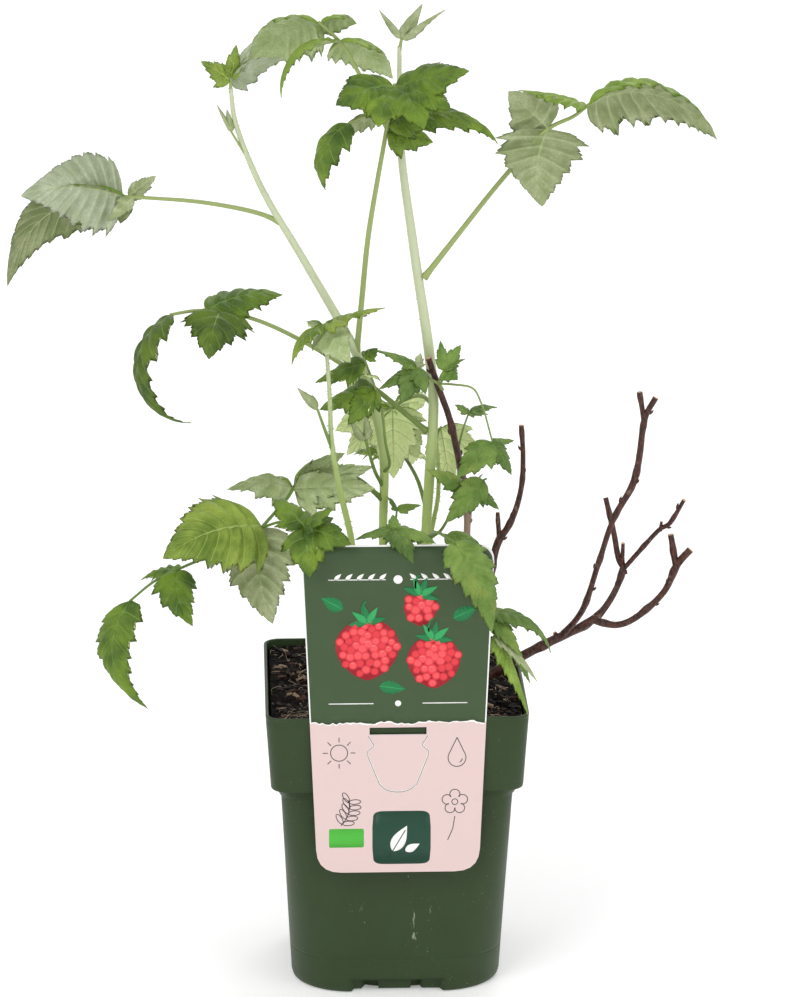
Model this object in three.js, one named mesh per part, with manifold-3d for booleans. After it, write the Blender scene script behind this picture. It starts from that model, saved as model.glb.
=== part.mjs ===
// A raspberry plant in a square nursery pot: two tall green canes, two thin ones, three old
// brown canes that were cut back, and the compound leaves that hang on them.
// Millimetres, +Z up. The origin is the centre of the pot's flat underside, and the label
// hangs on the -Y side of the rim.

import * as THREE from 'three';
import { mergeVertices } from 'three/addons/utils/BufferGeometryUtils.js';
import Module from 'manifold-3d';

const wasm = await Module();
wasm.setup();

// ---------------------------------------------------------------- driving dimensions

const GAP = 0.3;                       // clearance between two pieces that touch

const POT = {
  height: 149.4,
  rimHalf: 65,                         // half the width across the rim
  footHalf: 52.5,
  wall: 1.6,
  floor: 9,                            // top of the floor above the underside
  hollowLead: 1,                       // of the tool that hollows it, above the rim
  cornerSteps: 4,
};
// Heights of the pot's section with its half-width and corner radius, from the foot, where the
// corners are roundest, past the collar's step to the rim.
const POT_SECTION = [
  [0, POT.footHalf - 1, 29],
  [2, POT.footHalf, 30],
  [40, 54.4, 24],
  [75, 56, 15],
  [105, 57.5, 9],
  [110, 62.5, 9],
  [POT.height, POT.rimHalf, 8],
];
const FOOT = {
  notchWide: 44,
  notchHigh: 7,
  notchDeep: 4,
  grooveIn: 30,
  grooveOut: 44,
  grooveHigh: 5,
  slotHigh: 5,
  slots: [[-14, 9], [10, 6]],          // in the front and back of the foot: middle, width
  grooveSides: 24,
  drainRadius: 4,
  drainSides: 8,
  drains: 6,
};
const SOIL_TOP = 144.5;
const LABEL = {
  top: 238.4,
  bottom: 69.4,
  topHalf: 47.2,
  bottomHalf: 40,
  topRound: 9,
  bottomRound: 12,
  thick: 0.8,
  slitHalf: 14,
  slitLow: 141.2,
  slitHigh: 145,
  tongueHalf: 15,
  tongueLow: 145.1,
};
const BLADE = {
  thick: 0.8,                          // along the midrib
  tipThick: 0.3,
  rootHalf: 0.3,                       // half-width where it leaves its stalk
  fold: 12,                            // degrees that each half drops from the midrib
  notch: 0.82,                         // half-width between two teeth, as a share
  lean: 0.45,                          // of a tooth towards the tip, as a share of its spacing
  toothEvery: 11,
  fewestTeeth: 2,
  mostTeeth: 5,
};
// Sides of a limb's section, and about how far apart its rings are.
const CANE = { sides: 6, step: 20 };
const OLD_CANE = { sides: 6, step: 9 };
const STALK = { sides: 5, step: 14 };

// ---------------------------------------------------------------- colours

const COLOURS = {
  pot: '#3b4d2f',
  soil: '#2a1f18',
  label: '#e9d6d0',
  cane: '#b9cc8c',
  bark: '#4b3228',
  leafDark: '#3f7421',
  leafMid: '#5a8f32',
  leafPale: '#a7b98f',
};

// ---------------------------------------------------------------- solids

// A closed surface through rings of points that run counterclockwise about the way they advance.
function skin(rings) {
  const count = rings[0].length;
  const position = [];
  const index = [];
  rings.forEach((ring) => ring.forEach((p) => position.push(p.x, p.y, p.z)));
  for (let k = 0; k + 1 < rings.length; k++) {
    for (let i = 0; i < count; i++) {
      const a = k * count + i;
      const b = k * count + ((i + 1) % count);
      index.push(a, b, b + count);
      index.push(a, b + count, a + count);
    }
  }
  const last = (rings.length - 1) * count;
  for (let i = 1; i + 1 < count; i++) {
    index.push(0, i + 1, i);
    index.push(last, last + i, last + i + 1);
  }
  const geometry = new THREE.BufferGeometry();
  geometry.setAttribute('position', new THREE.Float32BufferAttribute(position, 3));
  geometry.setIndex(index);
  return geometry;
}

function toSolid(geometry) {
  const bare = geometry.clone();
  bare.deleteAttribute('normal');
  bare.deleteAttribute('uv');
  const merged = mergeVertices(bare, 1e-4);
  const triVerts = new Uint32Array(merged.index.array);
  const vertProperties = merged.attributes.position.array;
  return new wasm.Manifold(new wasm.Mesh({ numProp: 3, vertProperties, triVerts }));
}

function toGeometry(solid) {
  const mesh = solid.getMesh();
  const position = new Float32Array(mesh.numVert * 3);
  for (let i = 0; i < mesh.numVert; i++) {
    position.set(mesh.vertProperties.subarray(i * mesh.numProp, i * mesh.numProp + 3), i * 3);
  }
  const geometry = new THREE.BufferGeometry();
  geometry.setAttribute('position', new THREE.BufferAttribute(position, 3));
  geometry.setIndex(new THREE.BufferAttribute(mesh.triVerts, 1));
  geometry.computeVertexNormals();
  return geometry;
}

// The one body of a fused solid: sealed hollows and loose scraps fall away.
function mainBody(solid) {
  const bodies = solid.decompose();
  return bodies.reduce((best, body) => (body.volume() > best.volume() ? body : best));
}

function box(x0, x1, y0, y1, z0, z1) {
  const geometry = new THREE.BoxGeometry(x1 - x0, y1 - y0, z1 - z0);
  geometry.translate((x0 + x1) / 2, (y0 + y1) / 2, (z0 + z1) / 2);
  return toSolid(geometry);
}

// All below the soil's surface: a cane stands on it with a flat foot.
const PAST = 10;                       // how far a cutting tool runs past what it cuts
const GROUND = box(-POT.rimHalf, POT.rimHalf, -POT.rimHalf, POT.rimHalf, -PAST, SOIL_TOP + GAP);

// ---------------------------------------------------------------- limbs

// Centres and diameters down a smooth curve through points [x, y, z, diameter], one at every
// point and others between them, about step apart.
function stations(points, step) {
  const curve = new THREE.CatmullRomCurve3(points.map(([x, y, z]) => new THREE.Vector3(x, y, z)));
  const spans = points.length - 1;
  const list = [];
  for (let i = 0; i < spans; i++) {
    const start = curve.getPoint(i / spans);
    const parts = Math.max(1, Math.round(start.distanceTo(curve.getPoint((i + 1) / spans)) / step));
    for (let j = 0; j < parts; j++) {
      const diameter = THREE.MathUtils.lerp(points[i][3], points[i + 1][3], j / parts);
      list.push({ centre: curve.getPoint((i + j / parts) / spans), diameter });
    }
  }
  list.push({ centre: curve.getPoint(1), diameter: points[spans][3] });
  return list;
}

// The point at a share of the way down a row of stations.
function pointAlong(list, share) {
  const spans = list.slice(1).map(({ centre }, i) => centre.distanceTo(list[i].centre));
  let left = share * spans.reduce((sum, span) => sum + span, 0);
  let i = 0;
  while (i < spans.length - 1 && left > spans[i]) {
    left -= spans[i];
    i += 1;
  }
  return list[i].centre.clone().lerp(list[i + 1].centre, left / spans[i]);
}

// A tapering tube round a row of stations; grow widens it for a clearance cut.
function tube(list, sides, grow = 0) {
  const across = new THREE.Vector3(1, 0, 0);
  const rings = list.map(({ centre, diameter }, k) => {
    const before = list[Math.max(k - 1, 0)].centre;
    const after = list[Math.min(k + 1, list.length - 1)].centre;
    const forward = after.clone().sub(before).normalize();
    across.addScaledVector(forward, -across.dot(forward)).normalize();
    const other = forward.clone().cross(across);
    const ring = [];
    for (let s = 0; s < sides; s++) {
      const angle = (2 * Math.PI * s) / sides;
      const out = across.clone().multiplyScalar(Math.cos(angle));
      out.addScaledVector(other, Math.sin(angle));
      ring.push(centre.clone().addScaledVector(out, diameter / 2 + grow));
    }
    return ring;
  });
  return toSolid(skin(rings));
}

// Upright limbs: where they stand, and short spurs left by the cut.
// from: the limb that carries it, or the soil. points: [x, y, z, diameter].
const LIMBS = {
  left_cane: {
    points: [
      [-4, 8, 130, 4.4], [-5, 8, 216, 4.2], [-5, 8, 266, 4.7], [-11, 6, 294, 5],
      [-19, 4, 318, 4.8], [-44, 0, 365, 3.8], [-65.2, 0, 403, 3.1], [-77, 0, 435, 2.3], [-79, 0, 451, 2],
    ],
  },
  right_cane: {
    points: [
      [15, 0, 130, 4.8], [16, 2, 218, 4.6], [18, 4, 250, 5.2], [20, 4, 293, 5],
      [18, 4, 315, 5.2], [10.4, 2, 368, 4.6], [4.2, 0, 415, 3.8], [3, 0, 445, 2.6], [3, 0, 471, 2],
    ],
  },
  thin_cane: {
    points: [
      [-16, -12, 130, 3.4], [-21, -14, 223, 3.2], [-27, -16, 252, 3], [-31, -18, 278, 2.4],
      [-32, -19, 302, 2.1], [-34, -20, 333, 1.8],
    ],
  },
  bristly_cane: {
    points: [
      [20, 15, 130, 2.6], [19, 16, 214, 2.4], [23, 18, 239, 2.2], [23, 20, 258, 1.9],
      [22, 22, 268, 1.7],
    ],
  },
  old_cane_centre: {
    old: true,
    points: [
      [37, 8, 130, 3.8], [37, 7, 216, 3.5], [37, 6, 240, 3.5], [35, 5, 250, 3.6],
      [28, 1, 283, 3.2], [23, -1, 298, 3.1], [17, -4, 316, 3],
    ],
    spurs: [[[35, 5, 248, 3], [37.6, 5, 251, 2.2]]],
  },
  old_cane_middle: {
    old: true,
    points: [
      [44, 6, 130, 4.4], [50, 0, 211, 4], [53, 0, 221, 4], [57, 0, 227, 3.2],
      [61.5, 0, 238, 2.9], [64, 0, 250, 2.6], [64.5, 0, 264, 2.5], [63.5, 0, 280, 2.4],
    ],
    spurs: [[[53, 0, 220, 2.8], [52.4, 0, 228, 2.2], [52, 0, 235, 2]]],
  },
  old_cane_right: {
    old: true,
    points: [
      [24, -8, 130, 5], [33, -11, 144, 5], [54, -14, 158, 4.8], [73, -14, 169, 4.6],
      [94, -10, 178, 4.2], [101, -8, 182, 4],
    ],
    spurs: [[[82, -12, 173, 3], [80, -12.5, 175.8, 1.8]]],
  },
  old_arm_right: {
    old: true,
    from: ['old_cane_right'],
    points: [
      [99, -9, 181, 3.2], [105, -8, 179, 3.5], [112, -8, 178, 3.4], [120, -8, 181, 3.3],
      [135, -8, 195, 3.2], [142, -8, 210, 3.8], [148, -8, 217, 3.6],
    ],
    spurs: [[[141, -8, 208, 3.2], [138, -8, 225, 3]]],
  },
  old_arm_middle: {
    old: true,
    from: ['old_cane_right', 'old_arm_right'],
    points: [[98, -9, 180, 3.6], [105, -5, 185, 3.4], [112, 0, 195, 3.2], [116, 4, 206, 3.2]],
    spurs: [[[114, 2, 202, 3], [117.4, 2, 202.6, 2]]],
  },
  old_twig_left: {
    old: true,
    from: ['old_arm_middle'],
    points: [[116, 4, 203.5, 3], [113, 6, 210, 3], [111, 10, 221, 2.8], [107, 14, 238, 2.6]],
    spurs: [[[115, 4.5, 206, 2.4], [115, 1, 218, 1.8]]],
  },
  old_twig_right: {
    old: true,
    from: ['old_arm_middle', 'old_twig_left'],
    points: [
      [115, 3.5, 203, 2.4], [124, 0, 215, 2.4], [133, -5, 227, 2.3], [137, -7, 230, 2.4],
      [144, -12, 244, 2],
    ],
    spurs: [[[133, -5, 226, 2], [133.5, -5.5, 231, 1.4]]],
  },
  old_arm_tall: {
    old: true,
    from: ['old_cane_right'],
    points: [
      [83, -12, 173, 3.2], [93, -20, 189, 3], [101, -26, 217, 2.8], [108, -26, 239, 2.8],
      [117, -24, 255, 3.6], [120, -24, 267, 3.2], [123, -24, 290, 3], [128, -24, 300, 2.9],
    ],
    spurs: [[[122.6, -24, 287, 2.6], [120, -24, 303, 2.6]], [[116.5, -24, 254, 2.4], [119.5, -24, 259, 1.6]]],
  },
};

function limbSolid(limb, grow = 0) {
  const { sides, step } = limb.old ? OLD_CANE : CANE;
  let solid = tube(stations(limb.points, step), sides, grow);
  for (const spur of limb.spurs ?? []) {
    solid = solid.add(tube(stations(spur, OLD_CANE.step), OLD_CANE.sides, grow));
  }
  return solid.subtract(GROUND);
}

// ---------------------------------------------------------------- leaves

// Half-width of a leaflet along its midrib, from 0 at the foot to 0 at the tip, 1 at its widest.
const halfProfile = (t) => Math.sin(Math.PI * Math.sqrt(t)) ** 0.9;

// A leaflet from foot to tip. Its midrib is an arc that turns through curl degrees and bulges
// towards face, the way its upper side looks, and sways sideways by up to sway; its halves drop
// by fold degrees, and its edges run out into teeth that lean towards the tip.
function blade(foot, tip, width, face, curl, sway = 0, fold = BLADE.fold) {
  const chord = new THREE.Vector3(...tip).sub(foot);
  const length = chord.length();
  const along = chord.clone().normalize();
  const up = new THREE.Vector3(...face);
  up.addScaledVector(along, -up.dot(along)).normalize();
  const side = up.clone().cross(along);
  const bend = THREE.MathUtils.degToRad(Math.max(curl, 1));
  const radius = length / (2 * Math.sin(bend / 2));
  const drop = THREE.MathUtils.degToRad(fold);
  const wanted = Math.round(length / BLADE.toothEvery);
  const teeth = THREE.MathUtils.clamp(wanted, BLADE.fewestTeeth, BLADE.mostTeeth);
  const steps = 2 * teeth;
  const rings = [];
  for (let k = 0; k <= steps; k++) {
    const t = k / steps;
    const turn = bend * (t - 0.5);
    const lift = radius * (Math.cos(turn) - Math.cos(bend / 2));
    const reach = radius * (Math.sin(turn) + Math.sin(bend / 2));
    const centre = foot.clone().addScaledVector(along, reach).addScaledVector(up, lift);
    centre.addScaledVector(side, 4 * t * (1 - t) * sway);
    const normal = up.clone().multiplyScalar(Math.cos(turn)).addScaledVector(along, Math.sin(turn));
    const forward = along.clone().multiplyScalar(Math.cos(turn)).addScaledVector(up, -Math.sin(turn));
    const tooth = k % 2 === 1;
    const half = BLADE.rootHalf + (width / 2) * halfProfile(t) * (tooth ? 1 : BLADE.notch);
    const lean = tooth && k < steps - 1 ? BLADE.lean * (length / steps) : 0;
    const thick = (k === steps ? BLADE.tipThick : BLADE.thick) / 2;
    const edge = (sign) => centre.clone()
      .addScaledVector(side, sign * half * Math.cos(drop))
      .addScaledVector(normal, -half * Math.sin(drop))
      .addScaledVector(forward, lean);
    rings.push([
      edge(1),
      centre.clone().addScaledVector(normal, thick),
      edge(-1),
      centre.clone().addScaledVector(normal, -thick),
    ]);
  }
  return toSolid(skin(rings));
}

// A leaf mass: stems of [x, y, z, diameter] points, and on each its leaflets
// [place along the stem, tip, width, face, curl, sway, fold]. The first stem starts inside its limb.
const BACK = [0, 0.95, 0.3];
const SKY = [0, 0, 1];
const MASSES = {
  leaf_top_left: {
    on: 'right_cane',
    colour: 'leafPale',
    stems: [{
      points: [
        [4, 0, 419, 2.6], [-1, 4, 426, 2.4], [-15, 10, 453, 2.1], [-25, 14, 470, 1.9],
        [-36, 18, 480, 1.6],
      ],
      leaflets: [
        [0.99, [-78, 24, 447.5], 36, [-0.2, 0.8, 0.6], 82],
        [0.99, [-17, 30, 477], 23, [0.2, 0.8, 0.5], 40],
        [0.82, [-55, -10, 448], 15, [-0.6, -0.1, 0.8], 105],
        [0.82, [1, 34, 448.5], 31, [0.3, 0.8, 0.5], 55],
      ],
    }],
  },
  leaf_top_centre: {
    on: 'left_cane',
    colour: 'leafDark',
    stems: [{
      points: [
        [-18, 4, 317, 3], [-15.6, -1, 345, 2.8], [-12.2, -10, 382, 2.6], [-5, -17, 427, 2.2],
        [0, -22, 457, 1.8],
      ],
      leaflets: [
        [0.99, [13, -52, 441], 40, [0.1, -0.5, 0.85], 60],
        [0.99, [-9, -51, 442], 40, [-0.1, -0.5, 0.85], 60],
        [0.99, [-29, -42, 451], 43, [-0.1, -0.6, 0.8], 50],
        [0.99, [35, -38, 466.5], 37, [0, -0.55, 0.8], 12],
        [0.99, [26, -45, 449], 36, [0, -0.6, 0.8], 45],
        [0.83, [19, -16, 427], 26, [0.1, -0.7, 0.6], 40],
        [0.85, [51, -6, 424], 23, [0, -0.5, 0.85], 100],
      ],
    }, {
      points: [[-3, -19.2, 440, 1.5], [-12, -21, 442, 1.3], [-22, -24, 438, 1.2]],
      leaflets: [
        [0.98, [-34, -28, 406], 25, [-0.65, -0.55, 0.5], 120],
        [0.25, [-28, -22, 430], 15, [-0.2, 0.8, 0.6], 60],
      ],
    }],
  },
  leaf_far_left: {
    on: 'left_cane',
    colour: 'leafPale',
    stems: [{
      points: [[-55, 0, 384, 2.8], [-65, 2, 388, 2.4], [-93, 6, 393, 2.1], [-133, 8, 396, 1.6]],
      leaflets: [
        [0.99, [-182, 2, 398], 44, [0, 1, 0.1], 25, 4],
        [0.96, [-191, 30, 346], 34, [-0.15, 0.95, 0.25], 50, 14],
        [0.96, [-116, 14, 405], 13, [0, 0.9, 0.45], 20],
        [0.93, [-140, 0, 385], 9, [0.4, 1, 0], 25],
      ],
    }],
  },
  leaf_far_right: {
    on: 'right_cane',
    colour: 'leafPale',
    stems: [{
      points: [
        [15, 2, 355, 3.2], [34.2, 3, 379.6, 2.6], [54.2, 4, 404.8, 2.4], [75.4, 4, 428.6, 2.1],
        [89, 6, 435, 1.8], [96, 5, 441, 1.6],
      ],
      leaflets: [
        [0.99, [159, 4, 423], 46, [0, 0.75, 0.66], 105, -2],
        [0.8, [72, -14, 394], 46, [0, 1, -0.3], 20, 4],
        [0.8, [56.5, 8, 447], 34, [0, 1, 0.2], 20],
        [0.99, [61, 0, 449.5], 18, [0, -0.1, 1], 12],
      ],
    }],
  },
  leaf_mid_left: {
    on: 'right_cane',
    colour: 'leafDark',
    stems: [{
      points: [
        [17, 4, 276, 3], [5, 10, 285, 2.8], [-7, 15, 294, 2.6], [-29, 18, 310, 2.4],
        [-69, 10, 333, 2], [-95, 4, 339, 1.8], [-110, 0, 338, 1.5],
      ],
      leaflets: [
        [0.88, [-54, 20, 343], 30, [0, -0.4, 0.9], 50],
        [0.82, [-91, -26, 322], 40, [0, -0.75, 0.65], 85, -1],
        [0.99, [-100, -6, 284], 27, [-1, -0.35, 0.1], 162],
      ],
    }],
  },
  leaves_low_left: {
    on: 'left_cane',
    colour: 'leafMid',
    stems: [
      {
        points: [
          [-5, 8, 240, 2.6], [-20, 4, 253, 2.2], [-35, 0, 254, 2], [-47, -4, 253, 1.9],
          [-53, -12, 247, 1.8], [-66, -36, 239, 1.7],
        ],
        leaflets: [
          [0.6, [-24, 20, 261], 26, [0, 0.9, 0.3], 20],
          [0.6, [-9, -3, 249], 30, [0, 0.9, 0.2], 15],
          [0.6, [-10, 2, 259], 22, [0, 0.9, 0.2], 15],
          [0.6, [-83, -4, 249.5], 28, [-0.2, 0.75, 0.6], 60],
          [0.99, [-114, -66, 233], 50, [-0.1, -0.8, 0.6], 30, -4],
          [0.99, [-61, -44, 192], 42, [0.1, 1, 0], 25, 4],
        ],
      },
      {
        points: [[-66, -36, 239, 1.4], [-56, -50, 246, 1.3], [-45, -66, 248, 1.2]],
        leaflets: [
          [0.99, [-60, -50, 258], 24, [0, -0.4, 1], 30],
          [0.99, [-32, -74, 259], 20, [0, -0.5, 1], 30],
          [0.99, [-43, -78, 226], 29, [0, -0.8, 0.5], 30],
          [0.99, [-23, -76, 242], 24, [0, -0.8, 0.5], 30],
        ],
      },
      {
        points: [
          [-66, -36, 239, 1.5], [-84, -34, 227, 1.5], [-102, -38, 221, 1.4],
          [-118, -44, 215, 1.3], [-131, -46, 205, 1.2],
        ],
        leaflets: [
          [0.99, [-123, -46, 149], 23, [-0.4, -0.9, 0], 45, -12],
          [0.62, [-100, -62, 197], 25, [0.2, -0.8, 0.4], 25, -4],
          [0.62, [-126, -26, 210], 18, [-0.3, -0.1, 1], 40],
        ],
      },
    ],
  },
  leaves_inner_left: {
    on: 'left_cane',
    colour: 'leafDark',
    stems: [{
      points: [
        [-5, 8, 254, 1.8], [-2, 3, 259, 1.6], [-4, -2, 272, 1.5], [-6, -6, 290, 1.4],
        [-9, -8, 301, 1.3], [-15, -9, 318, 1.1],
      ],
      leaflets: [
        [0.75, [-37, -7, 291], 24, [0, -0.5, 0.9], 30],
        [0.95, [-39, -4, 304], 22, [0, -0.4, 0.9], 30],
        [0.75, [-23, -18, 286], 18, [0, -1, 0.3], 20],
        [0.99, [-8, -6, 322], 12, [0, -0.5, 0.9], 20],
        [0.85, [-10, -18, 311], 12, [0.3, -0.5, 0.9], 20],
      ],
    }],
  },
  leaf_thin_cane_top: {
    on: 'thin_cane',
    colour: 'leafMid',
    stems: [{
      points: [[-34, -20, 331, 1.5], [-34.5, -20.5, 335, 1.4], [-35, -21, 338, 1.3]],
      leaflets: [
        [0.95, [-5, -30, 348.5], 22, SKY, 15],
        [0.95, [-22, -36, 322], 24, [0.3, 0.9, -0.3], 20],
        [0.95, [-42, -8, 334], 14, [0, 0.9, 0.3], 20],
        [0.95, [-51, -34, 321], 16, [-0.3, 0, 1], 70],
      ],
    }],
  },
  shoot_thin_cane: {
    on: 'thin_cane',
    colour: 'leafPale',
    stems: [{
      points: [[-30, -17, 271, 1.8], [-34, -20, 283, 1.7], [-38, -22, 295, 1.3]],
      leaflets: [[0.97, [-48, -26, 307], 8, [-0.3, -0.9, 0.3], 15, 0, 30]],
    }],
  },
  shoot_left_cane: {
    on: 'left_cane',
    colour: 'leafPale',
    stems: [{
      points: [[-5, 8, 247, 2], [-9, 2, 256, 1.9], [-14, -3, 274, 1.4]],
      leaflets: [
        [0.97, [-22, -7, 287], 8, [0.3, -0.9, 0.3], 15],
        [0.97, [-14, -5, 288], 7, [-0.3, -0.9, 0.3], 15, 0, 30],
      ],
    }],
  },
  bud_left_cane: {
    on: 'left_cane',
    colour: 'leafPale',
    stems: [{
      points: [[-72, 0, 418, 1.3], [-75, -1, 423, 1.2], [-79, -2, 430, 1.1]],
      leaflets: [
        [0.97, [-86, -4, 444], 4, [0, -1, 0], 10, 0, 30],
        [0.97, [-81, -2, 441], 5, [0, -1, 0], 10, 0, 30],
      ],
    }],
  },
  tip_left_cane: {
    on: 'left_cane',
    colour: 'leafMid',
    stems: [{
      points: [[-79, 0, 449, 1.4], [-79, 0, 452, 1.4], [-79, 0, 455, 1.3]],
      leaflets: [
        [0.95, [-93, -8, 466], 14, [0.3, -0.8, 0.5], 20],
        [0.95, [-76, 2, 472], 11, [0.3, -1, 0.2], 15],
        [0.95, [-53, 14, 463], 20, [0, 0.8, 0.6], 40],
        [0.95, [-68, 5, 473], 9, [0, 0.9, 0.3], 20],
      ],
    }],
  },
  tip_right_cane: {
    on: 'right_cane',
    colour: 'leafPale',
    stems: [{
      points: [[3, 0, 469, 1.5], [3.5, 0, 472, 1.5], [4, 0, 475, 1.4]],
      leaflets: [
        [0.95, [-7, -6, 490], 5, [0.3, -1, 0], 10, 0, 30],
        [0.95, [14.5, 6, 491], 11, [-0.2, -1, 0], 15, 0, 25],
        [0.95, [25, -4, 490], 6, [-0.6, -0.5, 0.5], 20, 0, 25],
      ],
    }],
  },
  leaf_back_centre: {
    on: 'right_cane',
    colour: 'leafPale',
    stems: [{
      points: [[19.5, 6, 290, 2.4], [14, 17, 291, 2], [6, 27, 286, 1.8], [0, 32, 280, 1.6]],
      leaflets: [
        [0.97, [-28, 44, 266], 32, BACK, 20],
        [0.97, [1, 28, 245], 30, BACK, 15],
        [0.97, [19, 48, 281], 32, BACK, 20],
        [0.97, [-22, 52, 251], 26, BACK, 20],
        [0.97, [-14, 58, 279], 26, [0, 0.5, 0.9], 20],
        [0.97, [14, 42, 252], 30, BACK, 20],
      ],
    }],
  },
  leaf_back_right: {
    on: 'bristly_cane',
    colour: 'leafPale',
    stems: [{
      points: [[22, 22, 266, 1.5], [23, 24, 270, 1.5], [25, 27, 272, 1.4]],
      leaflets: [
        [0.95, [44, 34, 254], 24, BACK, 20],
        [0.95, [30, 28, 239], 20, BACK, 15],
        [0.95, [42, 48, 265], 16, [0, 0.7, 0.7], 20],
      ],
    }],
  },
  leaf_back_middle: {
    on: 'right_cane',
    colour: 'leafMid',
    stems: [{
      points: [[17, 3, 234, 2.2], [13, 20, 246, 2], [5, 50, 254, 1.6]],
      leaflets: [
        [0.98, [-18, 78, 244], 26, [0, -0.2, 1], 40],
        [0.98, [12, 86, 236], 28, [0, 0.1, 1], 40],
        [0.98, [-20, 66, 256], 20, [0, 0.2, 1], 30],
      ],
    }],
  },
  leaf_back_low_left: {
    on: 'left_cane',
    colour: 'leafMid',
    stems: [{
      points: [[-4, 8, 168, 2.2], [-12, 28, 186, 2], [-18, 46, 190, 1.6]],
      leaflets: [
        [0.98, [-28, 84, 168], 30, [0, 0.3, 1], 45],
        [0.98, [-38, 54, 176], 22, [-0.3, 0.3, 1], 40],
        [0.98, [-2, 66, 178], 22, [0.3, 0.3, 1], 40],
      ],
    }],
  },
  leaf_back_low_right: {
    on: 'right_cane',
    colour: 'leafDark',
    stems: [{
      points: [[15, 1, 180, 2.2], [26, 14, 194, 2], [29, 42, 198, 1.6]],
      leaflets: [
        [0.98, [34, 76, 174], 28, [0, 0.3, 1], 45],
        [0.98, [40, 46, 186], 20, [0.3, 0.3, 1], 30],
        [0.98, [10, 62, 190], 20, [-0.3, 0.3, 1], 35],
      ],
    }],
  },
  leaves_old_cane: {
    on: 'old_cane_centre',
    colour: 'leafMid',
    stems: [
      {
        points: [[24, -1, 299, 1.7], [22, -5, 303, 1.5], [18, -7, 306, 1.3], [11, -10, 313, 1]],
        leaflets: [
          [0.98, [-10, -6, 321], 10, [0, -0.3, 1], 30],
          [0.98, [3, -22, 298], 18, [0, -0.8, 0.5], 25],
          [0.98, [15, -24, 303], 12, [0.2, -0.8, 0.5], 25],
          [0.9, [-8, -14, 303], 13, [0, -0.4, 0.9], 25],
          [0.98, [13, -6, 319], 9, [-0.2, 0.7, 0.5], 15],
        ],
      },
      {
        points: [[22, -5, 303, 1.2], [23, -8, 307, 1], [24.5, -9, 311, 0.9]],
        leaflets: [
          [0.97, [31, -16, 308], 13, [0.2, -0.8, 0.6], 25],
          [0.97, [33, -6, 323], 11, [0, -0.8, 0.5], 15],
          [0.97, [23, -5, 325], 8, [0, -0.8, 0.5], 15],
          [0.97, [35, -9, 317], 6, [0, -0.3, 1], 30],
        ],
      },
      {
        points: [
          [22, -5, 303, 1.2], [30, -7, 303, 1.1], [39, -7, 301, 1], [43, -8, 294, 1],
          [49, -8, 273, 0.9],
        ],
        leaflets: [
          [0.98, [30, -22, 259], 20, [-0.2, -0.75, 0.6], 25],
          [0.98, [58, -16, 259], 12, [0.3, -0.8, 0.3], 25],
          [0.98, [60, -2, 273], 8, [0, -0.5, 0.8], 15],
        ],
      },
    ],
  },
  leaf_old_cane_small: {
    on: 'old_cane_centre',
    colour: 'leafMid',
    stems: [{
      points: [[32, 3, 266, 1.2], [35, 6, 277, 1], [38, 8, 285, 0.9]],
      leaflets: [
        [0.97, [31, 10, 288.5], 8, [0, -0.3, 1], 20],
        [0.97, [52, 8, 287.5], 10, [0, -0.3, 1], 40],
        [0.97, [47, 2, 285.5], 7, [0, -0.3, 1], 20],
      ],
    }],
  },
  leaves_low_right: {
    on: 'right_cane',
    colour: 'leafMid',
    stems: [
      {
        points: [
          [17, 2, 221, 1.7], [23, -2, 226, 1.5], [28, -4, 235, 1.4], [34, -6, 247, 1.3],
          [46, -8, 255, 1],
        ],
        leaflets: [
          [0.75, [16, -12, 261], 15, [0, -0.6, 0.8], 25],
          [0.97, [25, -24, 237], 19, [0.4, -0.6, 0.7], 25],
          [0.8, [52, -15, 241], 11, [0, -0.6, 0.8], 30],
          [0.85, [44, -2, 256], 7, [0, 0.7, 0.7], 20],
        ],
      },
      {
        points: [[23, -2, 226, 1.2], [24, -5, 225.5, 1.1], [26, -8, 226, 1]],
        leaflets: [[0.97, [42, -20, 225], 15, [0, -0.3, 1], 35]],
      },
    ],
  },
  leaves_over_label: {
    on: 'right_cane',
    colour: 'leafMid',
    stems: [
      {
        points: [[16, 1, 208, 2], [12, -16, 224, 1.7], [5, -38, 239, 1.5], [-2, -58, 244, 1.2]],
        leaflets: [
          [0.98, [18, -75, 242], 12, [0, -0.5, 0.9], 25],
          [0.98, [7, -79, 233], 16, [0, -0.8, 0.6], 55],
          [0.98, [-21, -61, 240], 8, [0, -0.5, 0.9], 25],
          [0.98, [-2, -52, 250], 8, [0, -0.9, 0.3], 15],
        ],
      },
      {
        points: [[12, -16, 224, 1.6], [17, -40, 236, 1.5], [20, -60, 242.5, 1.4], [27, -75, 242, 1.3]],
        leaflets: [[0.97, [45, -82, 198], 25, [0.1, -0.9, 0.3], 25, 4]],
      },
    ],
  },
  leaves_right_side: {
    on: 'right_cane',
    colour: 'leafMid',
    stems: [
      {
        points: [[15, 0, 158, 2], [24, -16, 174, 1.8], [34, -38, 192, 1.6], [46, -56, 201, 1.3]],
        leaflets: [
          [0.98, [76, -52, 178], 14, [0.2, -0.3, 0.9], 90],
          [0.98, [60, -68, 182], 12, [0.2, -0.8, 0.6], 25],
          [0.98, [66, -51, 162], 13, [0.6, -0.6, 0.4], 25],
        ],
      },
      {
        points: [[34, -38, 192, 1.3], [42, -52, 194, 1.2], [48, -60, 190, 1.1]],
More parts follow.
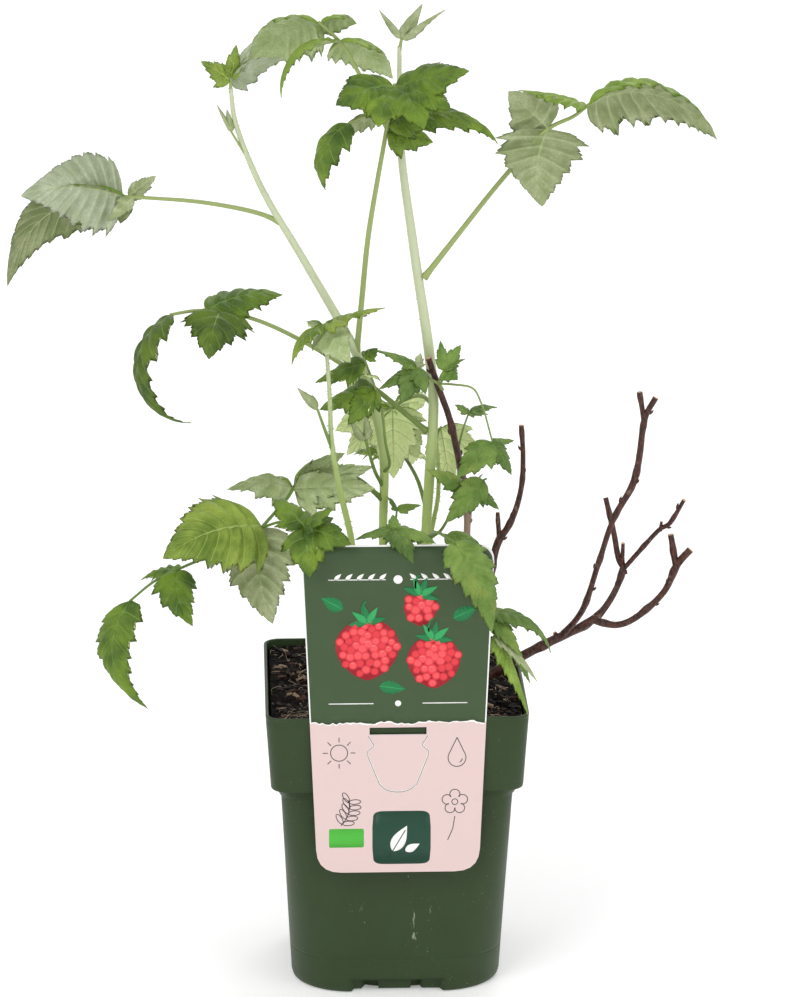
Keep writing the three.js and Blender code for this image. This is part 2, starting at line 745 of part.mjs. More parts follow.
        leaflets: [
          [0.97, [64, -70, 152], 11, [0.6, -0.6, 0.5], 25, 0, 30],
          [0.97, [68, -72, 170], 7, [0.5, -0.6, 0.6], 30],
        ],
      },
    ],
  },
  young_sucker: {
    colour: 'leafMid',
    stems: [{
      points: [[-1, -4, 130, 1.6], [-1, -2, 190, 1.4], [0, 2, 218, 1.2], [2, 4, 237, 1]],
      leaflets: [
        [0.99, [14, 5, 238], 8, [0, -0.5, 0.9], 25],
        [0.99, [-3, 0, 244], 6, [0, -0.5, 0.9], 20],
      ],
    }],
  },
};

function massSolid(mass) {
  let solid = null;
  for (const { points, leaflets } of mass.stems) {
    const list = stations(points, STALK.step);
    const stem = tube(list, STALK.sides);
    solid = solid ? solid.add(stem) : stem;
    for (const [place, tip, width, face, curl, sway, fold] of leaflets) {
      solid = solid.add(blade(pointAlong(list, place), tip, width, face, curl, sway, fold));
    }
  }
  const carrier = mass.on ? limbSolid(LIMBS[mass.on], GAP) : GROUND;
  return mainBody(solid.subtract(carrier));
}

// ---------------------------------------------------------------- pot, soil and label

// A ring of the square with round corners that the pot is drawn from.
function squareRing(half, corner, z) {
  const ring = [];
  const flat = half - corner;
  for (let quarter = 0; quarter < 4; quarter++) {
    const cx = flat * (quarter === 0 || quarter === 3 ? 1 : -1);
    const cy = flat * (quarter < 2 ? 1 : -1);
    for (let s = 0; s <= POT.cornerSteps; s++) {
      const angle = (Math.PI / 2) * (quarter + s / POT.cornerSteps);
      ring.push(new THREE.Vector3(cx + corner * Math.cos(angle), cy + corner * Math.sin(angle), z));
    }
  }
  return ring;
}

// The section's half-width and corner radius at a height.
function sectionAt(z) {
  const i = Math.max(1, POT_SECTION.findIndex(([height]) => height >= z));
  const [z0, half0, corner0] = POT_SECTION[i - 1];
  const [z1, half1, corner1] = POT_SECTION[i];
  const share = (z - z0) / (z1 - z0);
  return [THREE.MathUtils.lerp(half0, half1, share), THREE.MathUtils.lerp(corner0, corner1, share)];
}

// The solid inside the pot's section, moved in by an offset, from low to high; lead carries its
// top on upwards.
function sectionSolid(offset, low, high, lead = 0) {
  const between = POT_SECTION.map(([z]) => z).filter((z) => z > low + 1 && z < high - 1);
  const rings = [low, ...between, high].map((z) => {
    const [half, corner] = sectionAt(z);
    return squareRing(half - offset, corner - offset, z === high ? z + lead : z);
  });
  return toSolid(skin(rings));
}

function potSolid() {
  const hollow = sectionSolid(POT.wall, POT.floor, POT.height, POT.hollowLead);
  let pot = sectionSolid(0, 0, POT.height).subtract(hollow);
  const groove = new THREE.LatheGeometry([
    new THREE.Vector2(FOOT.grooveIn, -PAST),
    new THREE.Vector2(FOOT.grooveOut, -PAST),
    new THREE.Vector2(FOOT.grooveOut, FOOT.grooveHigh),
    new THREE.Vector2(FOOT.grooveIn, FOOT.grooveHigh),
    new THREE.Vector2(FOOT.grooveIn, -PAST),
  ], FOOT.grooveSides);
  groove.rotateX(Math.PI / 2);
  pot = pot.subtract(toSolid(groove));
  const drain = new THREE.CylinderGeometry(FOOT.drainRadius, FOOT.drainRadius, 2 * PAST, FOOT.drainSides);
  drain.rotateX(Math.PI / 2);
  drain.translate((FOOT.grooveIn + FOOT.grooveOut) / 2, 0, FOOT.grooveHigh);
  const out = POT.footHalf + PAST;
  const notchHalf = FOOT.notchWide / 2;
  const notch = box(POT.footHalf - FOOT.notchDeep, out, -notchHalf, notchHalf, -PAST, FOOT.notchHigh);
  const slots = FOOT.slots.map(([middle, wide]) => (
    box(FOOT.grooveOut - 1, out, middle - wide / 2, middle + wide / 2, -PAST, FOOT.slotHigh)
  ));
  for (const turn of [90, 270]) {
    for (const cut of [notch, ...slots]) pot = pot.subtract(cut.rotate([0, 0, turn]));
  }
  for (let i = 0; i < FOOT.drains; i++) {
    pot = pot.subtract(toSolid(drain).rotate([0, 0, (i * 360) / FOOT.drains]));
  }
  return mainBody(pot);
}

// A tapered card with round corners and a slit, hung over the rim by a neck and a tongue inside.
function labelSolid() {
  const halfAt = (z) => THREE.MathUtils.mapLinear(z, LABEL.bottom, LABEL.top, LABEL.bottomHalf, LABEL.topHalf);
  const outline = new THREE.Shape();
  const corners = [
    [-1, LABEL.bottom, LABEL.bottomRound],
    [1, LABEL.bottom, LABEL.bottomRound],
    [1, LABEL.top, -LABEL.topRound],
    [-1, LABEL.top, -LABEL.topRound],
  ];
  corners.forEach(([sign, z, round], i) => {
    const upright = [sign * halfAt(z + round), z + round];
    const level = [sign * (halfAt(z) - Math.abs(round)), z];
    const [start, end] = i % 2 === 0 ? [upright, level] : [level, upright];
    if (i === 0) outline.moveTo(...start);
    else outline.lineTo(...start);
    outline.quadraticCurveTo(sign * halfAt(z), z, ...end);
  });
  outline.closePath();
  const slit = new THREE.Path();
  slit.moveTo(-LABEL.slitHalf, LABEL.slitLow);
  slit.lineTo(-LABEL.slitHalf, LABEL.slitHigh);
  slit.lineTo(LABEL.slitHalf, LABEL.slitHigh);
  slit.lineTo(LABEL.slitHalf, LABEL.slitLow);
  slit.closePath();
  outline.holes.push(slit);
  const card = new THREE.ExtrudeGeometry(outline, { depth: LABEL.thick, bevelEnabled: false, curveSegments: 5 });
  card.rotateX(Math.PI / 2);
  const back = -(POT.rimHalf + GAP);
  card.translate(0, back, 0);
  const low = POT.height + GAP;
  const high = low + LABEL.thick;
  const inside = -(POT.rimHalf - POT.wall - 2 * GAP);
  const within = inside + LABEL.thick;
  const neck = box(-LABEL.tongueHalf, LABEL.tongueHalf, back - LABEL.thick / 2, within, low, high);
  const tongue = box(-LABEL.tongueHalf, LABEL.tongueHalf, inside, within, LABEL.tongueLow, high);
  return mainBody(toSolid(card).add(neck).add(tongue));
}

// ---------------------------------------------------------------- assembly

const plant = new THREE.Group();

function addNode(name, solid, colour, roughness) {
  const material = new THREE.MeshStandardMaterial({ color: COLOURS[colour], roughness, metalness: 0 });
  const mesh = new THREE.Mesh(toGeometry(solid), material);
  mesh.name = name;
  plant.add(mesh);
}

addNode('pot', potSolid(), 'pot', 0.5);
addNode('soil', sectionSolid(POT.wall + GAP, POT.floor + GAP, SOIL_TOP), 'soil', 0.95);
addNode('label_card', labelSolid(), 'label', 0.45);
for (const [name, limb] of Object.entries(LIMBS)) {
  let solid = limbSolid(limb);
  for (const carrier of limb.from ?? []) {
    solid = solid.subtract(limbSolid(LIMBS[carrier], GAP));
  }
  addNode(name, mainBody(solid), limb.old ? 'bark' : 'cane', limb.old ? 0.7 : 0.55);
}
for (const [name, mass] of Object.entries(MASSES)) {
  addNode(name, massSolid(mass), mass.colour, 0.6);
}

export default plant;
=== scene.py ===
"""The look of a potted raspberry cane: serrated leaflets on green canes, cut-back brown wood, a
square nursery pot of peat and a hanging picture card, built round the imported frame."""

import bpy
import numpy as np
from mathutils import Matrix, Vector


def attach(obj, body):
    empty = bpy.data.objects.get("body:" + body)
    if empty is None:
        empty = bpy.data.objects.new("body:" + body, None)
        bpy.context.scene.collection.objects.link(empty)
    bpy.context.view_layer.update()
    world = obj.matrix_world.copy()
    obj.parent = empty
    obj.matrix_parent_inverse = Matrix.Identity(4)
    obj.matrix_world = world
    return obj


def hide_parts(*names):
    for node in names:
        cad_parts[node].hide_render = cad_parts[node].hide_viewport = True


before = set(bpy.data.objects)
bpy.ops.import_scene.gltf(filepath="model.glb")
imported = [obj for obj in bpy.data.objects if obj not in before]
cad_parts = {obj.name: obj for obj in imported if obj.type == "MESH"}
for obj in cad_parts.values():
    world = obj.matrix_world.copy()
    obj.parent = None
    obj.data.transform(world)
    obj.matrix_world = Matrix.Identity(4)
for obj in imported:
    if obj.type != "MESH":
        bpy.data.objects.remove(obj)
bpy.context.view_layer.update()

MM = 0.001  # sizes below are in millimetres, meshes in metres

# ---------------------------------------------------------------- sizes

POT_HEIGHT, RIM_HALF, FOOT_HALF, WALL, FLOOR = 149.4, 65.0, 52.5, 1.6, 9.0
NOTCH_HALF, NOTCH_HIGH, NOTCH_DEEP = 22.0, 7.0, 4.0
GROOVE_IN, GROOVE_OUT, GROOVE_HIGH = 30.0, 44.0, 5.0
DRAINS, DRAIN_RADIUS = 6, 4.0
SOIL_TOP, PEAT_RAISED, PEAT_LIMIT = 144.5, 0.9, 148.5
CARD_FRONT = -66.1
CARD_TOP, CARD_BOTTOM, CARD_TOP_HALF, CARD_BOTTOM_HALF = 238.4, 69.4, 47.2, 40.0
PRINT_EDGE, PRINT_ROUND = 0.7, 8.1  # the printed field stops short of the card's edge

# ---------------------------------------------------------------- the plant's named sizes

# Limbs: points [x, y, z, diameter] from the foot up, and the short spurs beside a cut.
SKY, BACK = [0, 0, 1], [0, 0.95, 0.3]
LIMBS = {
  "left_cane": {
    "points": [
      [-4, 8, 130, 4.4], [-5, 8, 216, 4.2], [-5, 8, 266, 4.7], [-11, 6, 294, 5],
      [-19, 4, 318, 4.8], [-44, 0, 365, 3.8], [-65.2, 0, 403, 3.1], [-77, 0, 435, 2.3],
      [-79, 0, 451, 2],
    ],
  },
  "right_cane": {
    "points": [
      [15, 0, 130, 4.8], [16, 2, 218, 4.6], [18, 4, 250, 5.2], [20, 4, 293, 5],
      [18, 4, 315, 5.2], [10.4, 2, 368, 4.6], [4.2, 0, 415, 3.8], [3, 0, 445, 2.6], [3, 0, 471, 2],
    ],
  },
  "thin_cane": {
    "points": [
      [-16, -12, 130, 3.4], [-21, -14, 223, 3.2], [-27, -16, 252, 3], [-31, -18, 278, 2.4],
      [-32, -19, 302, 2.1], [-34, -20, 333, 1.8],
    ],
  },
  "bristly_cane": {
    "points": [
      [20, 15, 130, 2.6], [19, 16, 214, 2.4], [23, 18, 239, 2.2], [23, 20, 258, 1.9],
      [22, 22, 268, 1.7],
    ],
  },
  "old_cane_centre": {
    "old": True,
    "points": [
      [37, 8, 130, 3.8], [37, 7, 216, 3.5], [37, 6, 240, 3.5], [35, 5, 250, 3.6],
      [28, 1, 283, 3.2], [23, -1, 298, 3.1], [17, -4, 316, 3],
    ],
    "spurs": [[[35, 5, 248, 3], [37.6, 5, 251, 2.2]]],
  },
  "old_cane_middle": {
    "old": True,
    "points": [
      [44, 6, 130, 4.4], [50, 0, 211, 4], [53, 0, 221, 4], [57, 0, 227, 3.2],
      [61.5, 0, 238, 2.9], [64, 0, 250, 2.6], [64.5, 0, 264, 2.5], [63.5, 0, 280, 2.4],
    ],
    "spurs": [[[53, 0, 220, 2.8], [52.4, 0, 228, 2.2], [52, 0, 235, 2]]],
  },
  "old_cane_right": {
    "old": True,
    "points": [
      [24, -8, 130, 5], [33, -11, 144, 5], [54, -14, 158, 4.8], [73, -14, 169, 4.6],
      [94, -10, 178, 4.2], [101, -8, 182, 4],
    ],
    "spurs": [[[82, -12, 173, 3], [80, -12.5, 175.8, 1.8]]],
  },
  "old_arm_right": {
    "old": True,
    "points": [
      [99, -9, 181, 3.2], [105, -8, 179, 3.5], [112, -8, 178, 3.4], [120, -8, 181, 3.3],
      [135, -8, 195, 3.2], [142, -8, 210, 3.8], [148, -8, 217, 3.6],
    ],
    "spurs": [[[141, -8, 208, 3.2], [138, -8, 225, 3]]],
  },
  "old_arm_middle": {
    "old": True,
    "points": [[98, -9, 180, 3.6], [105, -5, 185, 3.4], [112, 0, 195, 3.2], [116, 4, 206, 3.2]],
    "spurs": [[[114, 2, 202, 3], [117.4, 2, 202.6, 2]]],
  },
  "old_twig_left": {
    "old": True,
    "points": [[116, 4, 203.5, 3], [113, 6, 210, 3], [111, 10, 221, 2.8], [107, 14, 238, 2.6]],
    "spurs": [[[115, 4.5, 206, 2.4], [115, 1, 218, 1.8]]],
  },
  "old_twig_right": {
    "old": True,
    "points": [
      [115, 3.5, 203, 2.4], [124, 0, 215, 2.4], [133, -5, 227, 2.3], [137, -7, 230, 2.4],
      [144, -12, 244, 2],
    ],
    "spurs": [[[133, -5, 226, 2], [133.5, -5.5, 231, 1.4]]],
  },
  "old_arm_tall": {
    "old": True,
    "points": [
      [83, -12, 173, 3.2], [93, -20, 189, 3], [101, -26, 217, 2.8], [108, -26, 239, 2.8],
      [117, -24, 255, 3.6], [120, -24, 267, 3.2], [123, -24, 290, 3], [128, -24, 300, 2.9],
    ],
    "spurs": [
      [[122.6, -24, 287, 2.6], [120, -24, 303, 2.6]], [[116.5, -24, 254, 2.4],
      [119.5, -24, 259, 1.6]],
    ],
  },
}
MASSES = {
  "leaf_top_left": {
    "colour": "leafPale",
    "stems": [{
      "points": [
        [4, 0, 419, 2.6], [-1, 4, 426, 2.4], [-15, 10, 453, 2.1], [-25, 14, 470, 1.9],
        [-36, 18, 480, 1.6],
      ],
      "leaflets": [
        [0.99, [-78, 24, 447.5], 36, [-0.2, 0.8, 0.6], 82],
        [0.99, [-17, 30, 477], 23, [0.2, 0.8, 0.5], 40],
        [0.82, [-55, -10, 448], 15, [-0.6, -0.1, 0.8], 105],
        [0.82, [1, 34, 448.5], 31, [0.3, 0.8, 0.5], 55],
      ],
    }],
  },
  "leaf_top_centre": {
    "colour": "leafDark",
    "stems": [{
      "points": [
        [-18, 4, 317, 3], [-15.6, -1, 345, 2.8], [-12.2, -10, 382, 2.6], [-5, -17, 427, 2.2],
        [0, -22, 457, 1.8],
      ],
      "leaflets": [
        [0.99, [13, -52, 441], 40, [0.1, -0.5, 0.85], 60],
        [0.99, [-9, -51, 442], 40, [-0.1, -0.5, 0.85], 60],
        [0.99, [-29, -42, 451], 43, [-0.1, -0.6, 0.8], 50],
        [0.99, [35, -38, 466.5], 37, [0, -0.55, 0.8], 12],
        [0.99, [26, -45, 449], 36, [0, -0.6, 0.8], 45],
        [0.83, [19, -16, 427], 26, [0.1, -0.7, 0.6], 40],
        [0.85, [51, -6, 424], 23, [0, -0.5, 0.85], 100],
      ],
    }, {
      "points": [[-3, -19.2, 440, 1.5], [-12, -21, 442, 1.3], [-22, -24, 438, 1.2]],
      "leaflets": [
        [0.98, [-34, -28, 406], 25, [-0.65, -0.55, 0.5], 120],
        [0.25, [-28, -22, 430], 15, [-0.2, 0.8, 0.6], 60],
      ],
    }],
  },
  "leaf_far_left": {
    "colour": "leafPale",
    "stems": [{
      "points": [[-55, 0, 384, 2.8], [-65, 2, 388, 2.4], [-93, 6, 393, 2.1], [-133, 8, 396, 1.6]],
      "leaflets": [
        [0.99, [-182, 2, 398], 44, [0, 1, 0.1], 25, 4],
        [0.96, [-191, 30, 346], 34, [-0.15, 0.95, 0.25], 50, 14],
        [0.96, [-116, 14, 405], 13, [0, 0.9, 0.45], 20],
        [0.93, [-140, 0, 385], 9, [0.4, 1, 0], 25],
      ],
    }],
  },
  "leaf_far_right": {
    "colour": "leafPale",
    "stems": [{
      "points": [
        [15, 2, 355, 3.2], [34.2, 3, 379.6, 2.6], [54.2, 4, 404.8, 2.4], [75.4, 4, 428.6, 2.1],
        [89, 6, 435, 1.8], [96, 5, 441, 1.6],
      ],
      "leaflets": [
        [0.99, [159, 4, 423], 46, [0, 0.75, 0.66], 105, -2, 12, (0.2, 0.5)],
        [0.8, [72, -14, 394], 46, [0, 1, -0.3], 20, 4],
        [0.8, [56.5, 8, 447], 34, [0, 1, 0.2], 20],
        [0.99, [61, 0, 449.5], 18, [0, -0.1, 1], 12],
      ],
    }],
  },
  "leaf_mid_left": {
    "colour": "leafDark",
    "stems": [{
      "points": [
        [17, 4, 276, 3], [5, 10, 285, 2.8], [-7, 15, 294, 2.6], [-29, 18, 310, 2.4],
        [-69, 10, 333, 2], [-95, 4, 339, 1.8], [-110, 0, 338, 1.5],
      ],
      "leaflets": [
        [0.88, [-54, 20, 343], 30, [0, -0.4, 0.9], 50],
        [0.82, [-91, -26, 322], 40, [0, -0.75, 0.65], 85, -1],
        [0.99, [-100, -6, 284], 27, [-1, -0.35, 0.1], 162],
      ],
    }],
  },
  "leaves_low_left": {
    "colour": "leafMid",
    "stems": [
      {
        "points": [
          [-5, 8, 240, 2.6], [-20, 4, 253, 2.2], [-35, 0, 254, 2], [-47, -4, 253, 1.9],
          [-53, -12, 247, 1.8], [-66, -36, 239, 1.7],
        ],
        "leaflets": [
          [0.6, [-24, 20, 261], 26, [0, 0.9, 0.3], 20],
          [0.6, [-9, -3, 249], 30, [0, 0.9, 0.2], 15],
          [0.6, [-10, 2, 259], 22, [0, 0.9, 0.2], 15],
          [0.6, [-83, -4, 249.5], 28, [-0.2, 0.75, 0.6], 60],
          [0.99, [-114, -66, 233], 50, [-0.1, -0.8, 0.6], 30, -4],
          [0.99, [-61, -44, 192], 42, [0.1, 1, 0], 25, 4],
        ],
      },
      {
        "points": [[-66, -36, 239, 1.4], [-56, -50, 246, 1.3], [-45, -66, 248, 1.2]],
        "leaflets": [
          [0.99, [-60, -50, 258], 24, [0, -0.4, 1], 30],
          [0.99, [-32, -74, 259], 20, [0, -0.5, 1], 30],
          [0.99, [-43, -78, 226], 29, [0, -0.8, 0.5], 30],
          [0.99, [-23, -76, 242], 24, [0, -0.8, 0.5], 30],
        ],
      },
      {
        "points": [
          [-66, -36, 239, 1.5], [-84, -34, 227, 1.5], [-102, -38, 221, 1.4],
          [-118, -44, 215, 1.3], [-131, -46, 205, 1.2],
        ],
        "leaflets": [
          [0.99, [-123, -46, 149], 23, [-0.4, -0.9, 0], 45, -12],
          [0.62, [-100, -62, 197], 25, [0.2, -0.8, 0.4], 25, -4],
          [0.62, [-126, -26, 210], 18, [-0.3, -0.1, 1], 40],
        ],
      },
    ],
  },
  "leaves_inner_left": {
    "colour": "leafDark",
    "stems": [{
      "points": [
        [-5, 8, 254, 1.8], [-2, 3, 259, 1.6], [-4, -2, 272, 1.5], [-6, -6, 290, 1.4],
        [-9, -8, 301, 1.3], [-15, -9, 318, 1.1],
      ],
      "leaflets": [
        [0.75, [-37, -7, 291], 24, [0, -0.5, 0.9], 30],
        [0.95, [-39, -4, 304], 22, [0, -0.4, 0.9], 30],
        [0.75, [-23, -18, 286], 18, [0, -1, 0.3], 20],
        [0.99, [-8, -6, 322], 12, [0, -0.5, 0.9], 20],
        [0.85, [-10, -18, 311], 12, [0.3, -0.5, 0.9], 20],
      ],
    }],
  },
  "leaf_thin_cane_top": {
    "colour": "leafMid",
    "stems": [{
      "points": [[-34, -20, 331, 1.5], [-34.5, -20.5, 335, 1.4], [-35, -21, 338, 1.3]],
      "leaflets": [
        [0.95, [-5, -30, 348.5], 22, SKY, 15],
        [0.95, [-22, -36, 322], 24, [0.3, 0.9, -0.3], 20],
        [0.95, [-42, -8, 334], 14, [0, 0.9, 0.3], 20],
        [0.95, [-51, -34, 321], 16, [-0.3, 0, 1], 70],
      ],
    }],
  },
  "shoot_thin_cane": {
    "colour": "leafPale",
    "stems": [{
      "points": [[-30, -17, 271, 1.8], [-34, -20, 283, 1.7], [-38, -22, 295, 1.3]],
      "leaflets": [[0.97, [-48, -26, 307], 8, [-0.3, -0.9, 0.3], 15, 0, 30]],
    }],
  },
  "shoot_left_cane": {
    "colour": "leafPale",
    "stems": [{
      "points": [[-5, 8, 247, 2], [-9, 2, 256, 1.9], [-14, -3, 274, 1.4]],
      "leaflets": [
        [0.97, [-22, -7, 287], 8, [0.3, -0.9, 0.3], 15],
        [0.97, [-14, -5, 288], 7, [-0.3, -0.9, 0.3], 15, 0, 30],
      ],
    }],
  },
  "bud_left_cane": {
    "colour": "leafPale",
    "stems": [{
      "points": [[-72, 0, 418, 1.3], [-75, -1, 423, 1.2], [-79, -2, 430, 1.1]],
      "leaflets": [
        [0.97, [-86, -4, 444], 4, [0, -1, 0], 10, 0, 30],
        [0.97, [-81, -2, 441], 5, [0, -1, 0], 10, 0, 30],
      ],
    }],
  },
  "tip_left_cane": {
    "colour": "leafMid",
    "stems": [{
      "points": [[-79, 0, 449, 1.4], [-79, 0, 452, 1.4], [-79, 0, 455, 1.3]],
      "leaflets": [
        [0.95, [-93, -8, 466], 14, [0.3, -0.8, 0.5], 20],
        [0.95, [-76, 2, 472], 11, [0.3, -1, 0.2], 15],
        [0.95, [-53, 14, 463], 20, [0, 0.8, 0.6], 40],
        [0.95, [-68, 5, 473], 9, [0, 0.9, 0.3], 20],
      ],
    }],
  },
  "tip_right_cane": {
    "colour": "leafPale",
    "stems": [{
      "points": [[3, 0, 469, 1.5], [3.5, 0, 472, 1.5], [4, 0, 475, 1.4]],
      "leaflets": [
        [0.95, [-7, -6, 490], 5, [0.3, -1, 0], 10, 0, 30],
        [0.95, [14.5, 6, 491], 11, [-0.2, -1, 0], 15, 0, 25],
        [0.95, [25, -4, 490], 6, [-0.6, -0.5, 0.5], 20, 0, 25],
      ],
    }],
  },
  "leaf_back_centre": {
    "colour": "leafPale",
    "stems": [{
      "points": [[19.5, 6, 290, 2.4], [14, 17, 291, 2], [6, 27, 286, 1.8], [0, 32, 280, 1.6]],
      "leaflets": [
        [0.97, [-28, 44, 266], 32, BACK, 20],
        [0.97, [1, 28, 245], 30, BACK, 15],
        [0.97, [19, 48, 281], 32, BACK, 20],
        [0.97, [-22, 52, 251], 26, BACK, 20],
        [0.97, [-14, 58, 279], 26, [0, 0.5, 0.9], 20],
        [0.97, [14, 42, 252], 30, BACK, 20],
      ],
    }],
  },
  "leaf_back_right": {
    "colour": "leafPale",
    "stems": [{
      "points": [[22, 22, 266, 1.5], [23, 24, 270, 1.5], [25, 27, 272, 1.4]],
      "leaflets": [
        [0.95, [44, 34, 254], 24, BACK, 20],
        [0.95, [30, 28, 239], 20, BACK, 15],
        [0.95, [42, 48, 265], 16, [0, 0.7, 0.7], 20],
      ],
    }],
  },
  "leaf_back_middle": {
    "colour": "leafMid",
    "stems": [{
      "points": [[17, 3, 234, 2.2], [13, 20, 246, 2], [5, 50, 254, 1.6]],
      "leaflets": [
        [0.98, [-18, 78, 244], 26, [0, -0.2, 1], 40],
        [0.98, [12, 86, 236], 28, [0, 0.1, 1], 40],
        [0.98, [-20, 66, 256], 20, [0, 0.2, 1], 30],
      ],
    }],
  },
  "leaf_back_low_left": {
    "colour": "leafMid",
    "stems": [{
      "points": [[-4, 8, 168, 2.2], [-12, 28, 186, 2], [-18, 46, 190, 1.6]],
      "leaflets": [
        [0.98, [-28, 84, 168], 30, [0, 0.3, 1], 45],
        [0.98, [-38, 54, 176], 22, [-0.3, 0.3, 1], 40],
        [0.98, [-2, 66, 178], 22, [0.3, 0.3, 1], 40],
      ],
    }],
  },
  "leaf_back_low_right": {
    "colour": "leafDark",
    "stems": [{
      "points": [[15, 1, 180, 2.2], [26, 14, 194, 2], [29, 42, 198, 1.6]],
      "leaflets": [
        [0.98, [34, 76, 174], 28, [0, 0.3, 1], 45],
        [0.98, [40, 46, 186], 20, [0.3, 0.3, 1], 30],
        [0.98, [10, 62, 190], 20, [-0.3, 0.3, 1], 35],
      ],
    }],
  },
  "leaves_old_cane": {
    "colour": "leafMid",
    "stems": [
      {
        "points": [[24, -1, 299, 1.7], [22, -5, 303, 1.5], [18, -7, 306, 1.3], [11, -10, 313, 1]],
        "leaflets": [
          [0.98, [-10, -6, 321], 10, [0, -0.3, 1], 30],
          [0.98, [3, -22, 298], 18, [0, -0.8, 0.5], 25],
          [0.98, [15, -24, 303], 12, [0.2, -0.8, 0.5], 25],
          [0.9, [-8, -14, 303], 13, [0, -0.4, 0.9], 25],
          [0.98, [13, -6, 319], 9, [-0.2, 0.7, 0.5], 15],
        ],
      },
      {
        "points": [[22, -5, 303, 1.2], [23, -8, 307, 1], [24.5, -9, 311, 0.9]],
        "leaflets": [
          [0.97, [31, -16, 308], 13, [0.2, -0.8, 0.6], 25],
          [0.97, [33, -6, 323], 11, [0, -0.8, 0.5], 15],
          [0.97, [23, -5, 325], 8, [0, -0.8, 0.5], 15],
          [0.97, [35, -9, 317], 6, [0, -0.3, 1], 30],
        ],
      },
      {
        "points": [
          [22, -5, 303, 1.2], [30, -7, 303, 1.1], [39, -7, 301, 1], [43, -8, 294, 1],
          [49, -8, 273, 0.9],
        ],
        "leaflets": [
          [0.98, [30, -22, 259], 20, [-0.2, -0.75, 0.6], 25],
          [0.98, [58, -16, 259], 12, [0.3, -0.8, 0.3], 25],
          [0.98, [60, -2, 273], 8, [0, -0.5, 0.8], 15],
        ],
      },
    ],
  },
  "leaf_old_cane_small": {
    "colour": "leafMid",
    "stems": [{
      "points": [[32, 3, 266, 1.2], [35, 6, 277, 1], [38, 8, 285, 0.9]],
      "leaflets": [
        [0.97, [31, 10, 288.5], 8, [0, -0.3, 1], 20],
        [0.97, [52, 8, 287.5], 10, [0, -0.3, 1], 40],
        [0.97, [47, 2, 285.5], 7, [0, -0.3, 1], 20],
      ],
    }],
  },
  "leaves_low_right": {
    "colour": "leafMid",
    "stems": [
      {
        "points": [
          [17, 2, 221, 1.7], [23, -2, 226, 1.5], [28, -4, 235, 1.4], [34, -6, 247, 1.3],
          [46, -8, 255, 1],
        ],
        "leaflets": [
          [0.75, [16, -12, 261], 15, [0, -0.6, 0.8], 25],
          [0.97, [25, -24, 237], 19, [0.4, -0.6, 0.7], 25],
          [0.8, [52, -15, 241], 11, [0, -0.6, 0.8], 30],
          [0.85, [44, -2, 256], 7, [0, 0.7, 0.7], 20],
        ],
      },
      {
        "points": [[23, -2, 226, 1.2], [24, -5, 225.5, 1.1], [26, -8, 226, 1]],
        "leaflets": [[0.97, [42, -20, 225], 15, [0, -0.3, 1], 35]],
      },
    ],
  },
  "leaves_over_label": {
    "colour": "leafMid",
    "stems": [
      {
        "points": [[16, 1, 208, 2], [12, -16, 224, 1.7], [5, -38, 239, 1.5], [-2, -58, 244, 1.2]],
        "leaflets": [
          [0.98, [18, -75, 242], 12, [0, -0.5, 0.9], 25],
          [0.98, [7, -79, 233], 16, [0, -0.8, 0.6], 55],
          [0.98, [-21, -61, 240], 8, [0, -0.5, 0.9], 25],
          [0.98, [-2, -52, 250], 8, [0, -0.9, 0.3], 15],
        ],
      },
      {
        "points": [
          [12, -16, 224, 1.6], [17, -40, 236, 1.5], [20, -60, 242.5, 1.4], [27, -75, 242, 1.3],
        ],
        "leaflets": [[0.97, [45, -82, 198], 25, [0.1, -0.9, 0.3], 25, 4]],
      },
    ],
  },
  "leaves_right_side": {
    "colour": "leafMid",
    "stems": [
      {
        "points": [[15, 0, 158, 2], [24, -16, 174, 1.8], [34, -38, 192, 1.6], [46, -56, 201, 1.3]],
        "leaflets": [
          [0.98, [76, -52, 178], 14, [0.2, -0.3, 0.9], 90],
          [0.98, [60, -68, 182], 12, [0.2, -0.8, 0.6], 25],
          [0.98, [66, -51, 162], 13, [0.6, -0.6, 0.4], 25],
        ],
      },
      {
        "points": [[34, -38, 192, 1.3], [42, -52, 194, 1.2], [48, -60, 190, 1.1]],
        "leaflets": [
          [0.97, [64, -70, 152], 11, [0.6, -0.6, 0.5], 25, 0, 30],
          [0.97, [68, -72, 170], 7, [0.5, -0.6, 0.6], 30],
        ],
      },
    ],
  },
  "young_sucker": {
    "colour": "leafMid",
    "stems": [{
      "points": [[-1, -4, 130, 1.6], [-1, -2, 190, 1.4], [0, 2, 218, 1.2], [2, 4, 237, 1]],
      "leaflets": [
        [0.99, [14, 5, 238], 8, [0, -0.5, 0.9], 25],
        [0.99, [-3, 0, 244], 6, [0, -0.5, 0.9], 20],
      ],
    }],
  },
}


GROUPS = {
    "top": ["leaf_top_left", "leaf_top_centre", "tip_left_cane", "tip_right_cane", "bud_left_cane"],
    "outer": ["leaf_far_left", "leaf_far_right", "leaf_mid_left"],
    "low_left": ["leaves_low_left", "leaf_thin_cane_top", "shoot_thin_cane", "shoot_left_cane"],
    "inner": ["leaves_inner_left", "leaves_old_cane", "leaf_old_cane_small", "young_sucker"],
    "low_right": ["leaves_low_right", "leaves_over_label", "leaves_right_side"],
    "back": [
        "leaf_back_centre", "leaf_back_right", "leaf_back_middle", "leaf_back_low_left",
        "leaf_back_low_right",
    ],
}  # fmt: skip
LEAF_FINISHES = {
    "leafDark": (0, 1), "leafMid": (2, 3), "leafPale": (4, 4), "leafShaded": (11, 12),
    "leafTurned": (4, 6), "leafDeep": (13, 0),
}  # fmt: skip
